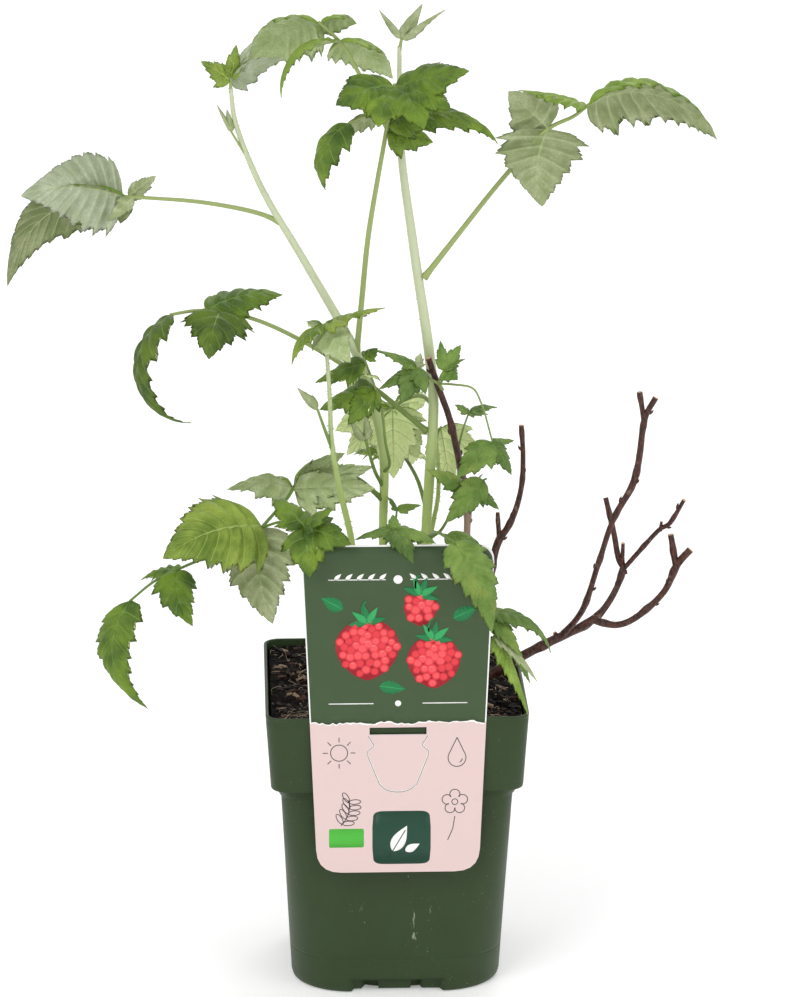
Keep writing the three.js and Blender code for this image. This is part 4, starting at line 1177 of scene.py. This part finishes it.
def square_reach(half, corner, cos, sin):
    """Distance from the middle of a round-cornered square to its edge: half / max(|c|, |s|) on a
    side, and k (|c| + |s|) + sqrt(corner**2 - k**2 (|c| - |s|)**2) round a corner, k = half -
    corner."""
    c, s = np.abs(cos), np.abs(sin)
    k = half - corner
    flat = half / np.maximum(c, s)
    bent = k * (c + s) + np.sqrt(np.maximum(corner**2 - k**2 * (c - s) ** 2, 0))
    return np.where(flat * np.minimum(c, s) <= k, flat, bent)


def make_pot(finish):
    """One closed skin carried over the height: underside, round groove with drains, foot with its
    notches and slots, wall, collar, rolled rim, inner wall and inner floor. Each row is a height
    and an inset from the outside, and its radius is square_reach less that inset."""
    edge = 0.0012
    cuts = [-NOTCH_HALF, NOTCH_HALF]
    cuts += [middle + end * wide / 2 for middle, wide in SLOTS for end in (-1, 1)]
    cuts = np.arctan(np.array(cuts) / (FOOT_HALF - NOTCH_DEEP))
    steps = (cuts[:, None] + np.array([-edge, edge])).ravel()
    a = [np.linspace(0, 2 * np.pi, 241)[:-1], steps + np.pi / 2, steps + 3 * np.pi / 2]
    a = np.unique(np.round(np.concatenate(a) % (2 * np.pi), 6))
    c, s = np.cos(a), np.sin(a)
    near = np.tan((a + np.pi / 4) % (np.pi / 2) - np.pi / 4) * (FOOT_HALF - NOTCH_DEEP)
    ends = np.abs(s) > np.abs(c)
    notched = ends & (np.abs(near) < NOTCH_HALF)
    slotted = ends & np.any([np.abs(near - middle) < wide / 2 for middle, wide in SLOTS], 0)

    def row(z, inset=0.0, side=True):
        half, corner = (np.interp(z, SECTION[:, 0], SECTION[:, i]) for i in (1, 2))
        corner = max(corner - inset, 0.4)
        reach = square_reach(half - inset, corner, c, s)
        if side and z < NOTCH_HIGH:
            reach = np.where(notched, reach - NOTCH_DEEP, reach)
        if side and z < SLOT_HIGH:
            reach = np.where(slotted, GROOVE_OUT + 0.6, reach)
        return np.stack([reach * c, reach * s, np.full_like(a, z)], -1)

    def circle(radius, z):
        z = np.broadcast_to(z, a.shape)
        return np.stack([radius * c, radius * s, z], -1)

    turn = (a * DRAINS / (2 * np.pi)) % 1
    off = np.minimum(turn, 1 - turn) * 2 * np.pi / DRAINS

    def drained(radius):
        """Groove roof, lifted inside each drain: 3.6 mm within its radius."""
        mid = (GROOVE_IN + GROOVE_OUT) / 2
        gap = np.hypot(radius * np.cos(off) - mid, radius * np.sin(off))
        return circle(radius, GROOVE_HIGH + 3.6 * (gap < DRAIN_RADIUS))

    rows = [circle(0.05, 0.3), circle(12, 0.3), circle(GROOVE_IN - 0.6, 0.0)]
    rows += [circle(GROOVE_IN, 0.4), circle(GROOVE_IN + 0.2, GROOVE_HIGH - 0.4)]
    rows += [drained(r) for r in np.linspace(GROOVE_IN + 0.6, GROOVE_OUT - 0.6, 30)]
    rows += [circle(GROOVE_OUT - 0.2, GROOVE_HIGH - 0.4), circle(GROOVE_OUT, 0.4)]
    rows += [circle(GROOVE_OUT + 0.3, 0)]
    rows += [row(0, 1.2), row(0.1, 0.6), row(0.4, 0.2), row(0.9), row(3), row(4.97), row(5.03)]
    rows += [row(6), row(6.97), row(7.03), row(8)]
    plain_wall = [(z, 0) for z in (10, 13, 16, 17.4, 17.7)] + [(18, 0.22), (18.3, 0.22), (18.6, 0)]
    plain_wall += [(z, 0) for z in np.arange(20, 104, 4)] + [(104.2, 0), (105, 0)]
    collar = [(105.4, 0.05), (105.7, -0.1)]
    step = [(110, 2.6), (110, 1.4), (110, 0.7), (110.15, 0.3), (110.45, 0.06), (110.9, 0)]
    up = [(z, 0) for z in np.arange(114, 146, 4)]
    rim = [(146.6, 0), (147, 0.16), (147.4, 0.16), (147.8, 0), (148.6, 0), (149.0, 0.1)]
    rim += [(149.25, 0.3), (149.4, 0.65), (149.4, 1.1), (149.25, 1.4), (149, 1.55), (148.5, 1.6)]
    inner = [(z, WALL) for z in (147, 143, 138, 128, 111, 104, 80, 40, 12)]
    rows += [row(*at, side=False) for at in plain_wall + collar + step + up + rim + inner]
    rows += [row(FLOOR, 6, side=False), circle(20, FLOOR), circle(0.05, FLOOR)]
    pot = Heap()
    pot.skin(np.stack(rows))
    pot.piece("nursery_pot", [finish], "pot", ["pot"])


# ---------------------------------------------------------------- peat


def lumps(x, y, size, seed):
    """Smooth heights from -1 to 1: seeded numbers on a net of that size, eased between."""
    net = np.random.default_rng(seed).uniform(-1, 1, (128, 128))
    u, v = x / size + 400, y / size + 400
    i, j = np.floor(u).astype(int) % 128, np.floor(v).astype(int) % 128
    a, b = u % 1, v % 1
    a, b = a * a * (3 - 2 * a), b * b * (3 - 2 * b)
    low = net[i, j] * (1 - a) + net[(i + 1) % 128, j] * a
    high = net[i, (j + 1) % 128] * (1 - a) + net[(i + 1) % 128, (j + 1) % 128] * a
    return low * (1 - b) + high * b


def peat_height(x, y):
    """Top of the peat: lumps of 14, 5, 2.2 and 1 mm, heaped a little at the canes' feet."""
    height = 0.9 * lumps(x, y, 14, 1) + 0.8 * lumps(x, y, 5, 2) + 0.55 * lumps(x, y, 2.2, 3)
    height = height + 0.35 * lumps(x, y, 1.05, 4)
    heap = 2.2 * np.exp(-((x - 12) ** 2 + y**2) / 900)
    return SOIL_TOP + PEAT_RAISED + height + heap


def make_peat(finish, chip_finishes, fibre_finish):
    """Peat that fills the pot to its inner wall: the top is peat_height over rings of a rounded
    square, and a skirt closes it below. On it lie bark chips, boxes of eight seeded corners, and
    fibres, bent threads of four sides."""
    a = 2 * np.pi * np.arange(PEAT_SIDES) / PEAT_SIDES
    c, s = np.cos(a), np.sin(a)

    def inside(z):
        """The inner wall's outline at a height, PEAT_GAP clear of it."""
        half, corner = (np.interp(z, SECTION[:, 0], SECTION[:, i]) for i in (1, 2))
        return square_reach(half - WALL - PEAT_GAP, max(corner - WALL - PEAT_GAP, 1.0), c, s)

    edge = inside(SOIL_TOP)
    share = np.r_[1, np.linspace(0.992, 0.012, PEAT_RINGS)][:, None]
    x, y = share * edge * c, share * edge * s
    top = np.stack([x, y, np.minimum(peat_height(x, y), PEAT_LIMIT)], -1)
    skirt = [(inside(12) * 0.01, 12)] + [(inside(z), z) for z in (12, 40, 75, 104, 112, 130, 141)]
    skirt = np.stack([np.stack([r * c, r * s, np.full_like(a, z)], -1) for r, z in skirt])
    peat_body = Heap()
    peat_body.skin(np.concatenate([skirt, top]))
    peat_body.piece("peat", [finish], "soil", ["soil"])

    rng = np.random.default_rng(11)
    count = CHIP_COUNT
    spot = rng.uniform(-61, 61, (count, 2))
    size = np.exp(rng.uniform(np.log(0.3), np.log(1.5), (count, 1)))
    spans = ((0.9, 3.2), (0.5, 1.0), (0.3, 0.8))
    size = size * np.stack([rng.uniform(low, high, count) for low, high in spans], 1)
    cube = np.array([[i, j, k] for k in (-1, 1) for i, j in SQUARE])
    corner = cube * size[:, None] * rng.uniform(0.6, 1.1, (count, 8, 3))
    spin, tilt = rng.uniform(0, 2 * np.pi, count), rng.normal(0, 0.35, count)
    corner = turned(corner, spin, tilt)
    height = peat_height(*spot.T) + size[:, 2] * 0.4
    corner = corner + np.concatenate([spot, height[:, None]], 1)[:, None]
    base = 8 * np.arange(count)[:, None]
    walls = [[i, (i + 1) % 4, (i + 1) % 4 + 4, i + 4] for i in range(4)]
    box = np.array([[3, 2, 1, 0], [4, 5, 6, 7], *walls])
    chips = Heap()
    kind = rng.choice(len(chip_finishes), count, p=[0.66, 0.27, 0.07])
    chips.add(corner, (base[:, None] + box).reshape(-1, 4), np.repeat(kind, 6))
    chips.piece("bark_chips", chip_finishes, "soil", smooth=False)

    fibres = Heap()
    for i in range(FIBRE_COUNT):
        spot = rng.uniform(-BED_HALF, BED_HALF, 2)
        if i < FRONT_FIBRES:
            spot = np.array([rng.uniform(-BED_HALF, BED_HALF), rng.uniform(-61, -40)])
        heading = rng.uniform(0, 2 * np.pi) + np.cumsum(rng.normal(0, 0.45, 6))
        steps = np.stack([np.cos(heading), np.sin(heading)], 1) * rng.uniform(0.8, 3.0)
        path = (spot + np.cumsum(steps, 0)).clip(-61.5, 61.5)
        z = peat_height(*path.T) + rng.uniform(0.1, 0.9) + 0.5 * np.sin(np.arange(6))
        thick = np.full(6, rng.choice([0.16, 0.24, 0.4], p=[0.5, 0.38, 0.12]))
        limb(fibres, np.column_stack([path, z, thick]), 4)
    fibres.piece("root_fibres", [fibre_finish], "soil")


def turned(points, spin, tilt):
    """Points (n, k, 3) leaned by tilt about x, then turned by spin about z."""
    x, y, z = np.moveaxis(points, -1, 0)
    c, s = np.cos(tilt)[:, None], np.sin(tilt)[:, None]
    y, z = y * c - z * s, y * s + z * c
    c, s = np.cos(spin)[:, None], np.sin(spin)[:, None]
    return np.stack([x * c - y * s, x * s + y * c, z], -1)


# ---------------------------------------------------------------- picture card


def card_half(z):
    """Half the card's width at a height."""
    return np.interp(z, [CARD_BOTTOM, CARD_TOP], [CARD_BOTTOM_HALF, CARD_TOP_HALF])


def patch(heap, x, z, layer, finish=0):
    """A thin plate on the card's front: grids x and z run from left to right and from top to
    bottom, the face stands layer steps proud and the back sinks into the card."""
    front = CARD_FRONT - PRINT_STEP * layer
    face = np.stack([x, np.full_like(x, front), z], -1)
    back = np.stack([x, np.full_like(x, CARD_FRONT + 0.02), z], -1)[:, ::-1]
    heap.skin(np.concatenate([face, back], 1), finish)


def oval(heap, x, z, wide, high, layer, finish=0, point=0.0):
    """A plate whose half-height at u from -1 to 1 across is high sqrt(1 - u**2); point draws its
    low side down to a tip."""
    u = np.sin(np.linspace(-np.pi / 2, np.pi / 2, 33))[:, None] * 0.999
    v = np.array([1, 0, -1.0])
    half = high * np.sqrt(1 - u**2)
    drop = np.where(v < 0, half * (1 + point * (1 - np.abs(u)) ** 0.8), half)
    patch(heap, x + wide * u + 0 * v, z + v * drop, layer, finish)


def stroke(heap, path, width, layer, finish=0):
    """A ribbon of that width along a path of (x, z) points, as a thin plate."""
    path = np.asarray(path, float)
    slope = unit(np.gradient(path, axis=0))
    across = np.stack([slope[:, 1], -slope[:, 0]], 1) * width / 2
    right, left = path + across, path - across
    front = np.full(len(path), CARD_FRONT - PRINT_STEP * layer)
    back = np.full(len(path), CARD_FRONT + 0.02)
    ring = [(left, front), (right, front), (right, back), (left, back)]
    rings = np.stack([np.stack([p[:, 0], y, p[:, 1]], -1) for p, y in ring], 1)
    heap.skin(rings, finish)


def arc(x, z, wide, high, start, end, count=25):
    """Points on an ellipse about x, z from one angle in degrees to another."""
    a = np.radians(np.linspace(start, end, count))
    return np.stack([x + wide * np.cos(a), z + high * np.sin(a)], 1)


def berry(heap, x, z, wide, high, finishes, seed):
    """A picture of a berry: a deep red oval under low round domes set on rings of a spiral, closer
    at the rim. Each dome is four rings whose height is 0.3 (1 - r**2), deep red at its foot, and
    some carry a pale glint."""
    rng = np.random.default_rng(seed)
    oval(heap, x, z, wide, high, 3, finishes[0], point=0.25)
    a = 2 * np.pi * np.arange(14) / 14
    count = int(wide * high / 4.8)
    k = np.arange(count) + 0.5
    r, spin = np.sqrt(k / count), k * np.pi * (3 - np.sqrt(5))
    low = 1 + 0.22 * np.clip(-np.sin(spin), 0, 1) ** 3
    spots = [x + wide * 0.93 * r * np.cos(spin), z + high * 0.93 * r * low * np.sin(spin)]
    spots = np.stack(spots, 1)
    sizes = rng.uniform(2.7, 3.2, count) * (1 - 0.25 * r)
    order = rng.permutation(count)
    ring = np.array([1, 0.88, 0.62, 0.04])[:, None]
    for (px, pz), size, lit in zip(spots[order], sizes[order], rng.random(count)):
        rise = CARD_FRONT - PRINT_STEP * 3 - 0.3 * (1 - ring**2) + 0 * a
        dome = np.stack([px + size * ring * np.cos(a), rise, pz + size * ring * np.sin(a)], -1)
        deep, crimson, red, rose, glint = finishes
        tones = (crimson, red, rose) if lit < 0.7 else (deep, crimson, red)
        heap.skin(dome, np.repeat(np.array(tones)[:, None], len(a), 1))
        if lit < 0.3:
            flat = arc(px - 0.1 * size, pz + 0.25 * size, size * 0.36, size * 0.2, 160, 40, 6)
            stroke(heap, flat, 0.2, 8.2, glint)


def leaf_print(heap, x, z, long, wide, lean, layer, finish, teeth=0):
    """A flat leaf from its foot at x, z: width sin(pi t**0.7), leaning by an angle in degrees."""
    t = np.linspace(0.001, 0.999, 41)[:, None]
    v = np.array([1, 0, -1.0])
    half = wide / 2 * np.sin(np.pi * t**0.7)
    if teeth:
        half = half * (1 - 0.2 * ((t * teeth) % 1))
    u, w = long * t + 0 * v, half * v
    c, s = np.cos(np.radians(lean)), np.sin(np.radians(lean))
    patch(heap, x + u * c - w * s, z + u * s + w * c, layer, finish)


def make_card():
    """The card keeps its CAD solid under printed plates: a green field with a ragged white edge,
    a picture of berries and leaves, plain line drawings, a cut line and two plain green badges."""
    face = card_plastic("card_plastic", "#d8c1be", "#f0f0ee")
    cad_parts["label_card"].data.materials.clear()
    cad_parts["label_card"].data.materials.append(face.material)
    ink = {
        name: plain("print_" + name, colour, 0.4, 0.07, 9)
        for name, colour in {
            "green": "#3d5133",
            "white": "#f5f4f1",
            "deep_red": "#a51f2c",
            "red": "#dd3b43",
            "crimson": "#c92f3b",
            "rose": "#e9555a",
            "glint": "#f29c99",
            "leaf": "#33a25c",
            "leaf_deep": "#1f7a45",
            "line": "#4b4a49",
            "bottle": "#1d4433",
            "grass": "#4db33d",
            "cut": "#8d7f78",
        }.items()
    }
    names, finishes = list(ink), list(ink.values())
    n = names.index
    prints = Heap()

    u = np.linspace(-1, 1, 161)[:, None]
    v = np.linspace(1, 0, 24)
    torn = 147.5 + 0.8 * lumps(u * 43, 0 * u, 6, 21) + 0.5 * lumps(u * 43, 0 * u, 1.7, 22)
    under = torn - 0.4 - 0.6 * np.abs(lumps(u * 43, 0 * u, 2.6, 23))
    for low, layer, finish in ((under, 1, "white"), (torn, 2, "green")):
        into = (np.abs(u) - 1) * (CARD_TOP_HALF - PRINT_EDGE) / PRINT_ROUND + 1
        high = CARD_TOP - PRINT_EDGE - PRINT_ROUND * (1 - np.sqrt(1 - np.clip(into, 0, 1) ** 2))
        if finish == "white":
            high = torn + 1.5
        z = low + (high - low) * v
        patch(prints, u * (card_half(z) - PRINT_EDGE), z, layer, n(finish))

    reds = ("deep_red", "crimson", "red", "rose", "glint")
    for x, z, wide, high, lean, seed in PRINTED_BERRIES:
        berry(prints, x, z, wide, high, [n(red) for red in reds], seed)
        for k, turn in enumerate((-68, -34, 0, 34, 68)):
            finish = n("leaf") if k % 2 else n("leaf_deep")
            lie = 90 + lean + turn * 1.25
            leaf_print(prints, x, z + high * 0.86, 9.5, 3.4, lie, 8 + k % 2, finish)
        stroke(prints, arc(x, z + high + 4, 2.6, 5, 200, 95), 0.9, 9, n("leaf_deep"))
    for x, z, long, wide, lean in PRINTED_LEAVES:
        leaf_print(prints, x, z, long, wide, lean, 3, n("leaf_deep"), teeth=7)
        c, s = np.cos(np.radians(lean)), np.sin(np.radians(lean))
        path = [[x, z], [x + long * c * 0.9, z + long * s * 0.9]]
        stroke(prints, path, 0.4, 4, n("leaf"))
    stroke(prints, [[-34, 157.5], [-12, 157.5]], 0.5, 3, n("white"))
    stroke(prints, [[12, 157.5], [34, 157.5]], 0.5, 3, n("white"))
    oval(prints, 0, 157.5, 1.5, 1.5, 3, n("white"))
    for side in (-1, 1):
        for k in range(5):
            x = side * (9 + 5.5 * k)
            leaf_print(prints, x, 221, 4.6, 1.9, 90 + side * 48, 3, n("white"))
        stroke(prints, [[side * 6, 221], [side * 34, 221]], 0.45, 3, n("white"))
    oval(prints, 0, 221, 2.2, 2.2, 3, n("white"))

    # cut line of the hanging tab
    shoulder = [[-14.6, 140.6], [-12, 136.4], [-12.2, 135.2], [-15, 132.6]]
    belly = arc(0, 116, 8.4, 4.6, 200, 270, 9)
    shield = np.concatenate([shoulder, [[-14.8, 130], [-9.2, 115.5]], belly])
    for side in (-1, 1):
        half = shield * [side, 1]
        fray = 0.25 * lumps(half[:, 0] * 9, half[:, 1] * 9, 6, 31)[:, None]
        stroke(prints, (half + fray)[::side], 0.95, 1, n("white"))
        stroke(prints, (half + fray * 0.5)[::side], 0.42, 1.6, n("cut"))

    # line drawings: sun, drop, sprig, flower
    thin = 0.42
    stroke(prints, arc(-29, 132, 4.2, 4.2, 0, 360, 33), thin, 1, n("line"))
    for turn in range(0, 360, 45):
        c, s = np.cos(np.radians(turn)), np.sin(np.radians(turn))
        ray = [[-29 + far * c, 132 + far * s] for far in (5.6, 8)]
        stroke(prints, ray, thin, 1, n("line"))
    drop = np.concatenate([[[29, 139.5]], arc(29, 129, 4.4, 4.6, 28, -208, 25), [[29, 139.5]]])
    stroke(prints, drop, thin, 1, n("line"))
    stroke(prints, arc(29, 129, 2.6, 2.8, 300, 350, 7), thin, 1, n("line"))
    stroke(prints, arc(-44, 104, 20, 16, -38, 12, 17), thin, 1, n("line"))
    for k, (x, z) in enumerate(arc(-44, 104, 20, 16, -34, 8, 5)):
        for side in (-1, 1):
            bent = 62 + 58 * side
            c, s = np.cos(np.radians(bent)), np.sin(np.radians(bent))
            blade = arc(0, 0, 2.9, 1.2, 180, -180, 15) + [2.9, 0]
            blade = np.array([x, z]) + blade @ [[c, s], [-s, c]]
            stroke(prints, blade, thin, 1, n("line"))
    for turn in range(0, 360, 72):
        c, s = np.cos(np.radians(turn + 18)), np.sin(np.radians(turn + 18))
        petal = arc(28 + 4 * c, 106 + 4 * s, 2.5, 2.5, turn - 110, turn + 146, 15)
        stroke(prints, petal, thin, 1, n("line"))
    stroke(prints, arc(28, 106, 1.5, 1.5, 0, 360, 13), thin, 1, n("line"))
    stroke(prints, [[28, 98.5], [27, 92], [24.5, 86]], thin, 1, n("line"))

    # plain badges
    u = np.linspace(-1, 1, 61)[:, None]
    v = np.array([1, 0, -1.0])
    badges = ((1.7, 87.6, 14.4, 13.9, 8, "bottle"), (-25.5, 87.5, 8.6, 4.9, 24, "grass"))
    for x, z, wide, high, power, finish in badges:
        half = high * (1 - np.abs(u * 0.9999) ** power) ** (1 / power)
        patch(prints, x + wide * u + 0 * v, z + half * v, 1, n(finish))
    leaf_print(prints, -2.6, 80.5, 15, 7, 62, 2, n("white"))
    stroke(prints, [[-4.6, 77.2], [3.6, 91.5]], 0.5, 3, n("bottle"))
    leaf_print(prints, 3.6, 80.5, 8, 4, 28, 2, n("white"))
    prints.piece("card_prints", finishes, "label")


# ---------------------------------------------------------------- plant


def make_limbs(living, wood, cut):
    """Each limb's own tube, with its relief, spurs and prickles, stands for that limb's node."""
    for seed, (name, made) in enumerate(LIMBS.items()):
        old = made.get("old")
        heap = Heap()
        line = smooth_line(made["points"], 1.2 if old else 1.6)
        if old:
            limb(heap, line, 18, bark_relief(seed), caps=(0, 1))
            buds(heap, line, seed)
            for k, spur in enumerate(made.get("spurs", [])):
                limb(heap, smooth_line(spur, 1.0), 12, bark_relief(40 + seed + k), caps=(0, 1))
        else:
            limb(heap, line, 20, cane_relief(seed))
            each, long = (0.5, 1.5) if name in ("bristly_cane", "thin_cane") else (0.9, 1.0)
            prickles(heap, line, each, long, 0.34, seed, low=0.1)
        finishes, slot = ([wood, cut], "old_wood") if old else ([living], "green_cane")
        heap.piece(name + "_bark", finishes, slot, [name])


def make_leaves(finishes, stalk_finish):
    """Leaflets and stalks of each group, each kind in one piece: every mass grows on its stems by
    the named sizes, each leaflet set at its share of the stem."""
    for group, masses in GROUPS.items():
        leaflets, stalks = Heap(), Heap()
        for mass in masses:
            made = MASSES[mass]
            lit = group == "back" or mass in LIT_MASSES
            for number, stem in enumerate(made["stems"]):
                line = smooth_line(stem["points"], STEM_STEP)
                run = np.arange(len(line)) * STEM_STEP
                swell = 1 + 0.35 * np.exp(-((run / 3) ** 2)) * (number == 0)
                line[:, 3] *= swell
                limb(stalks, line, 10, cane_relief(len(mass) + number))
                prickles(stalks, line, 3.0, 0.7, 0.25, len(mass) + number)
                for k, values in enumerate(stem["leaflets"]):
                    plain_values = (0, 12, (0.2, 0.2))[len(values) - 5 :]
                    share, tip, width, face, curl, sway, fold, roll = (*values, *plain_values)
                    foot = along(line, share)
                    seed = int(abs(np.dot(tip, [7, 13, 29]))) + k
                    tone = TONES.get((mass, number), TONES.get(mass, made["colour"]))
                    upper = LEAF_FINISHES[tone][seed % 2]
                    under = LIT_FELT if lit else FELT if k < PALE_FELTED.get(mass, 0) else LATE_FELT
                    under = SHADED_FELT if (mass, k) in SHADED_FELTED else under
                    under = SUN_FELT if k < SUN_FELTED.get(mass, 0) else under
                    rib = RIB_PALE if upper in (2, 3, 4) else RIB_DARK
                    habit = "young" if mass in YOUNG_MASSES else "grown"
                    habit = "fine" if mass in FINE_MASSES else habit
                    habit = HABIT["small" if width < 19 else habit]
                    if mass in FOLDED_TIPS:
                        upper, under, rib, habit = LATE_FELT, LATE_FELT, RIB_UNDER, HABIT["folded"]
                        fold = FOLDED_TIP
                    kinds = (upper, under, rib, RIB_UNDER)
                    shape = (tip, width, face, curl, sway, fold, roll)
                    leaflet(leaflets, foot, *shape, seed, kinds, habit)
        leaflets.piece("leaflets_" + group, finishes, "leaf_mid", masses)
        stalks.piece("leaf_stalks_" + group, [stalk_finish], "green_cane", masses)


# ---------------------------------------------------------------- assembly

make_camera()
make_studio()

make_pot(nursery_plastic("pot_plastic", "#2c3d20", "#334628"))
bark_browns = [plain("chip_" + name, colour, 0.85, 0.35, 2) for name, colour in CHIP_BROWNS]
make_peat(peat("peat", "#060403", "#1a100a"), bark_browns, plain("fibre", "#b3a18b", 0.8, 0.3, 2))
make_card()

living = green_stem("cane_skin", "#c0c8a6", "#9fb463")
bark = brown_bark("old_bark", "#1f0d09", "#5c3022", "#a08b78")
make_limbs(living, bark, plain("cut_wood", "#c9a987", 0.8, 0.2, 1))
stalk_skin = green_stem("stalk_skin", "#95a465", "#617c33")
make_leaves(
    [
        leaf_upper("leaf_dark", "#3e5c10", "#769426"),
        leaf_upper("leaf_dark_fresh", "#466412", "#829e2e"),
        leaf_upper("leaf_mid", "#526f1a", "#8ca33c", patch=0.4),
        leaf_upper("leaf_mid_yellow", "#617d20", "#9ab048", patch=0.6),
        leaf_upper("leaf_young", "#6f8f2c", "#96b04c"),
        leaf_under("leaf_felt", "#c0c7b0", "#a3ad90", "#94a27b"),
        leaf_under("leaf_felt_green", "#b6be98", "#94a072", "#85955f"),
        # painted light: brighter lit copy of the felt with a little emission for leaves with light
        # behind them
        leaf_under("leaf_felt_lit", "#dde8ae", "#c5d592", "#b0c277", 0.14),
        plain("rib_dark", "#6f8f40", 0.5, 0.15),
        plain("rib_pale", "#a3b866", 0.5, 0.15),
        plain("rib_under", "#a9b784", 0.6, 0.15),
        # painted shade: duller copies of the upper side for small leaves in the shade
        leaf_upper("leaf_shaded", "#4a6827", "#779347"),
        leaf_upper("leaf_shaded_fresh", "#547628", "#86a24c", patch=0.25),
        leaf_upper("leaf_deep", "#344c0c", "#647e20"),
        # painted shade: darker felt for a leaflet in the shade of another
        leaf_under("leaf_felt_shaded", "#9ca47e", "#7c895c", "#6e7d48"),
        # painted light: brighter felt with a faint emission for leaflets in the light
        leaf_under("leaf_felt_sun", "#c6d2a6", "#a6b67e", "#869a56", 0.04),
    ],
    stalk_skin,
)
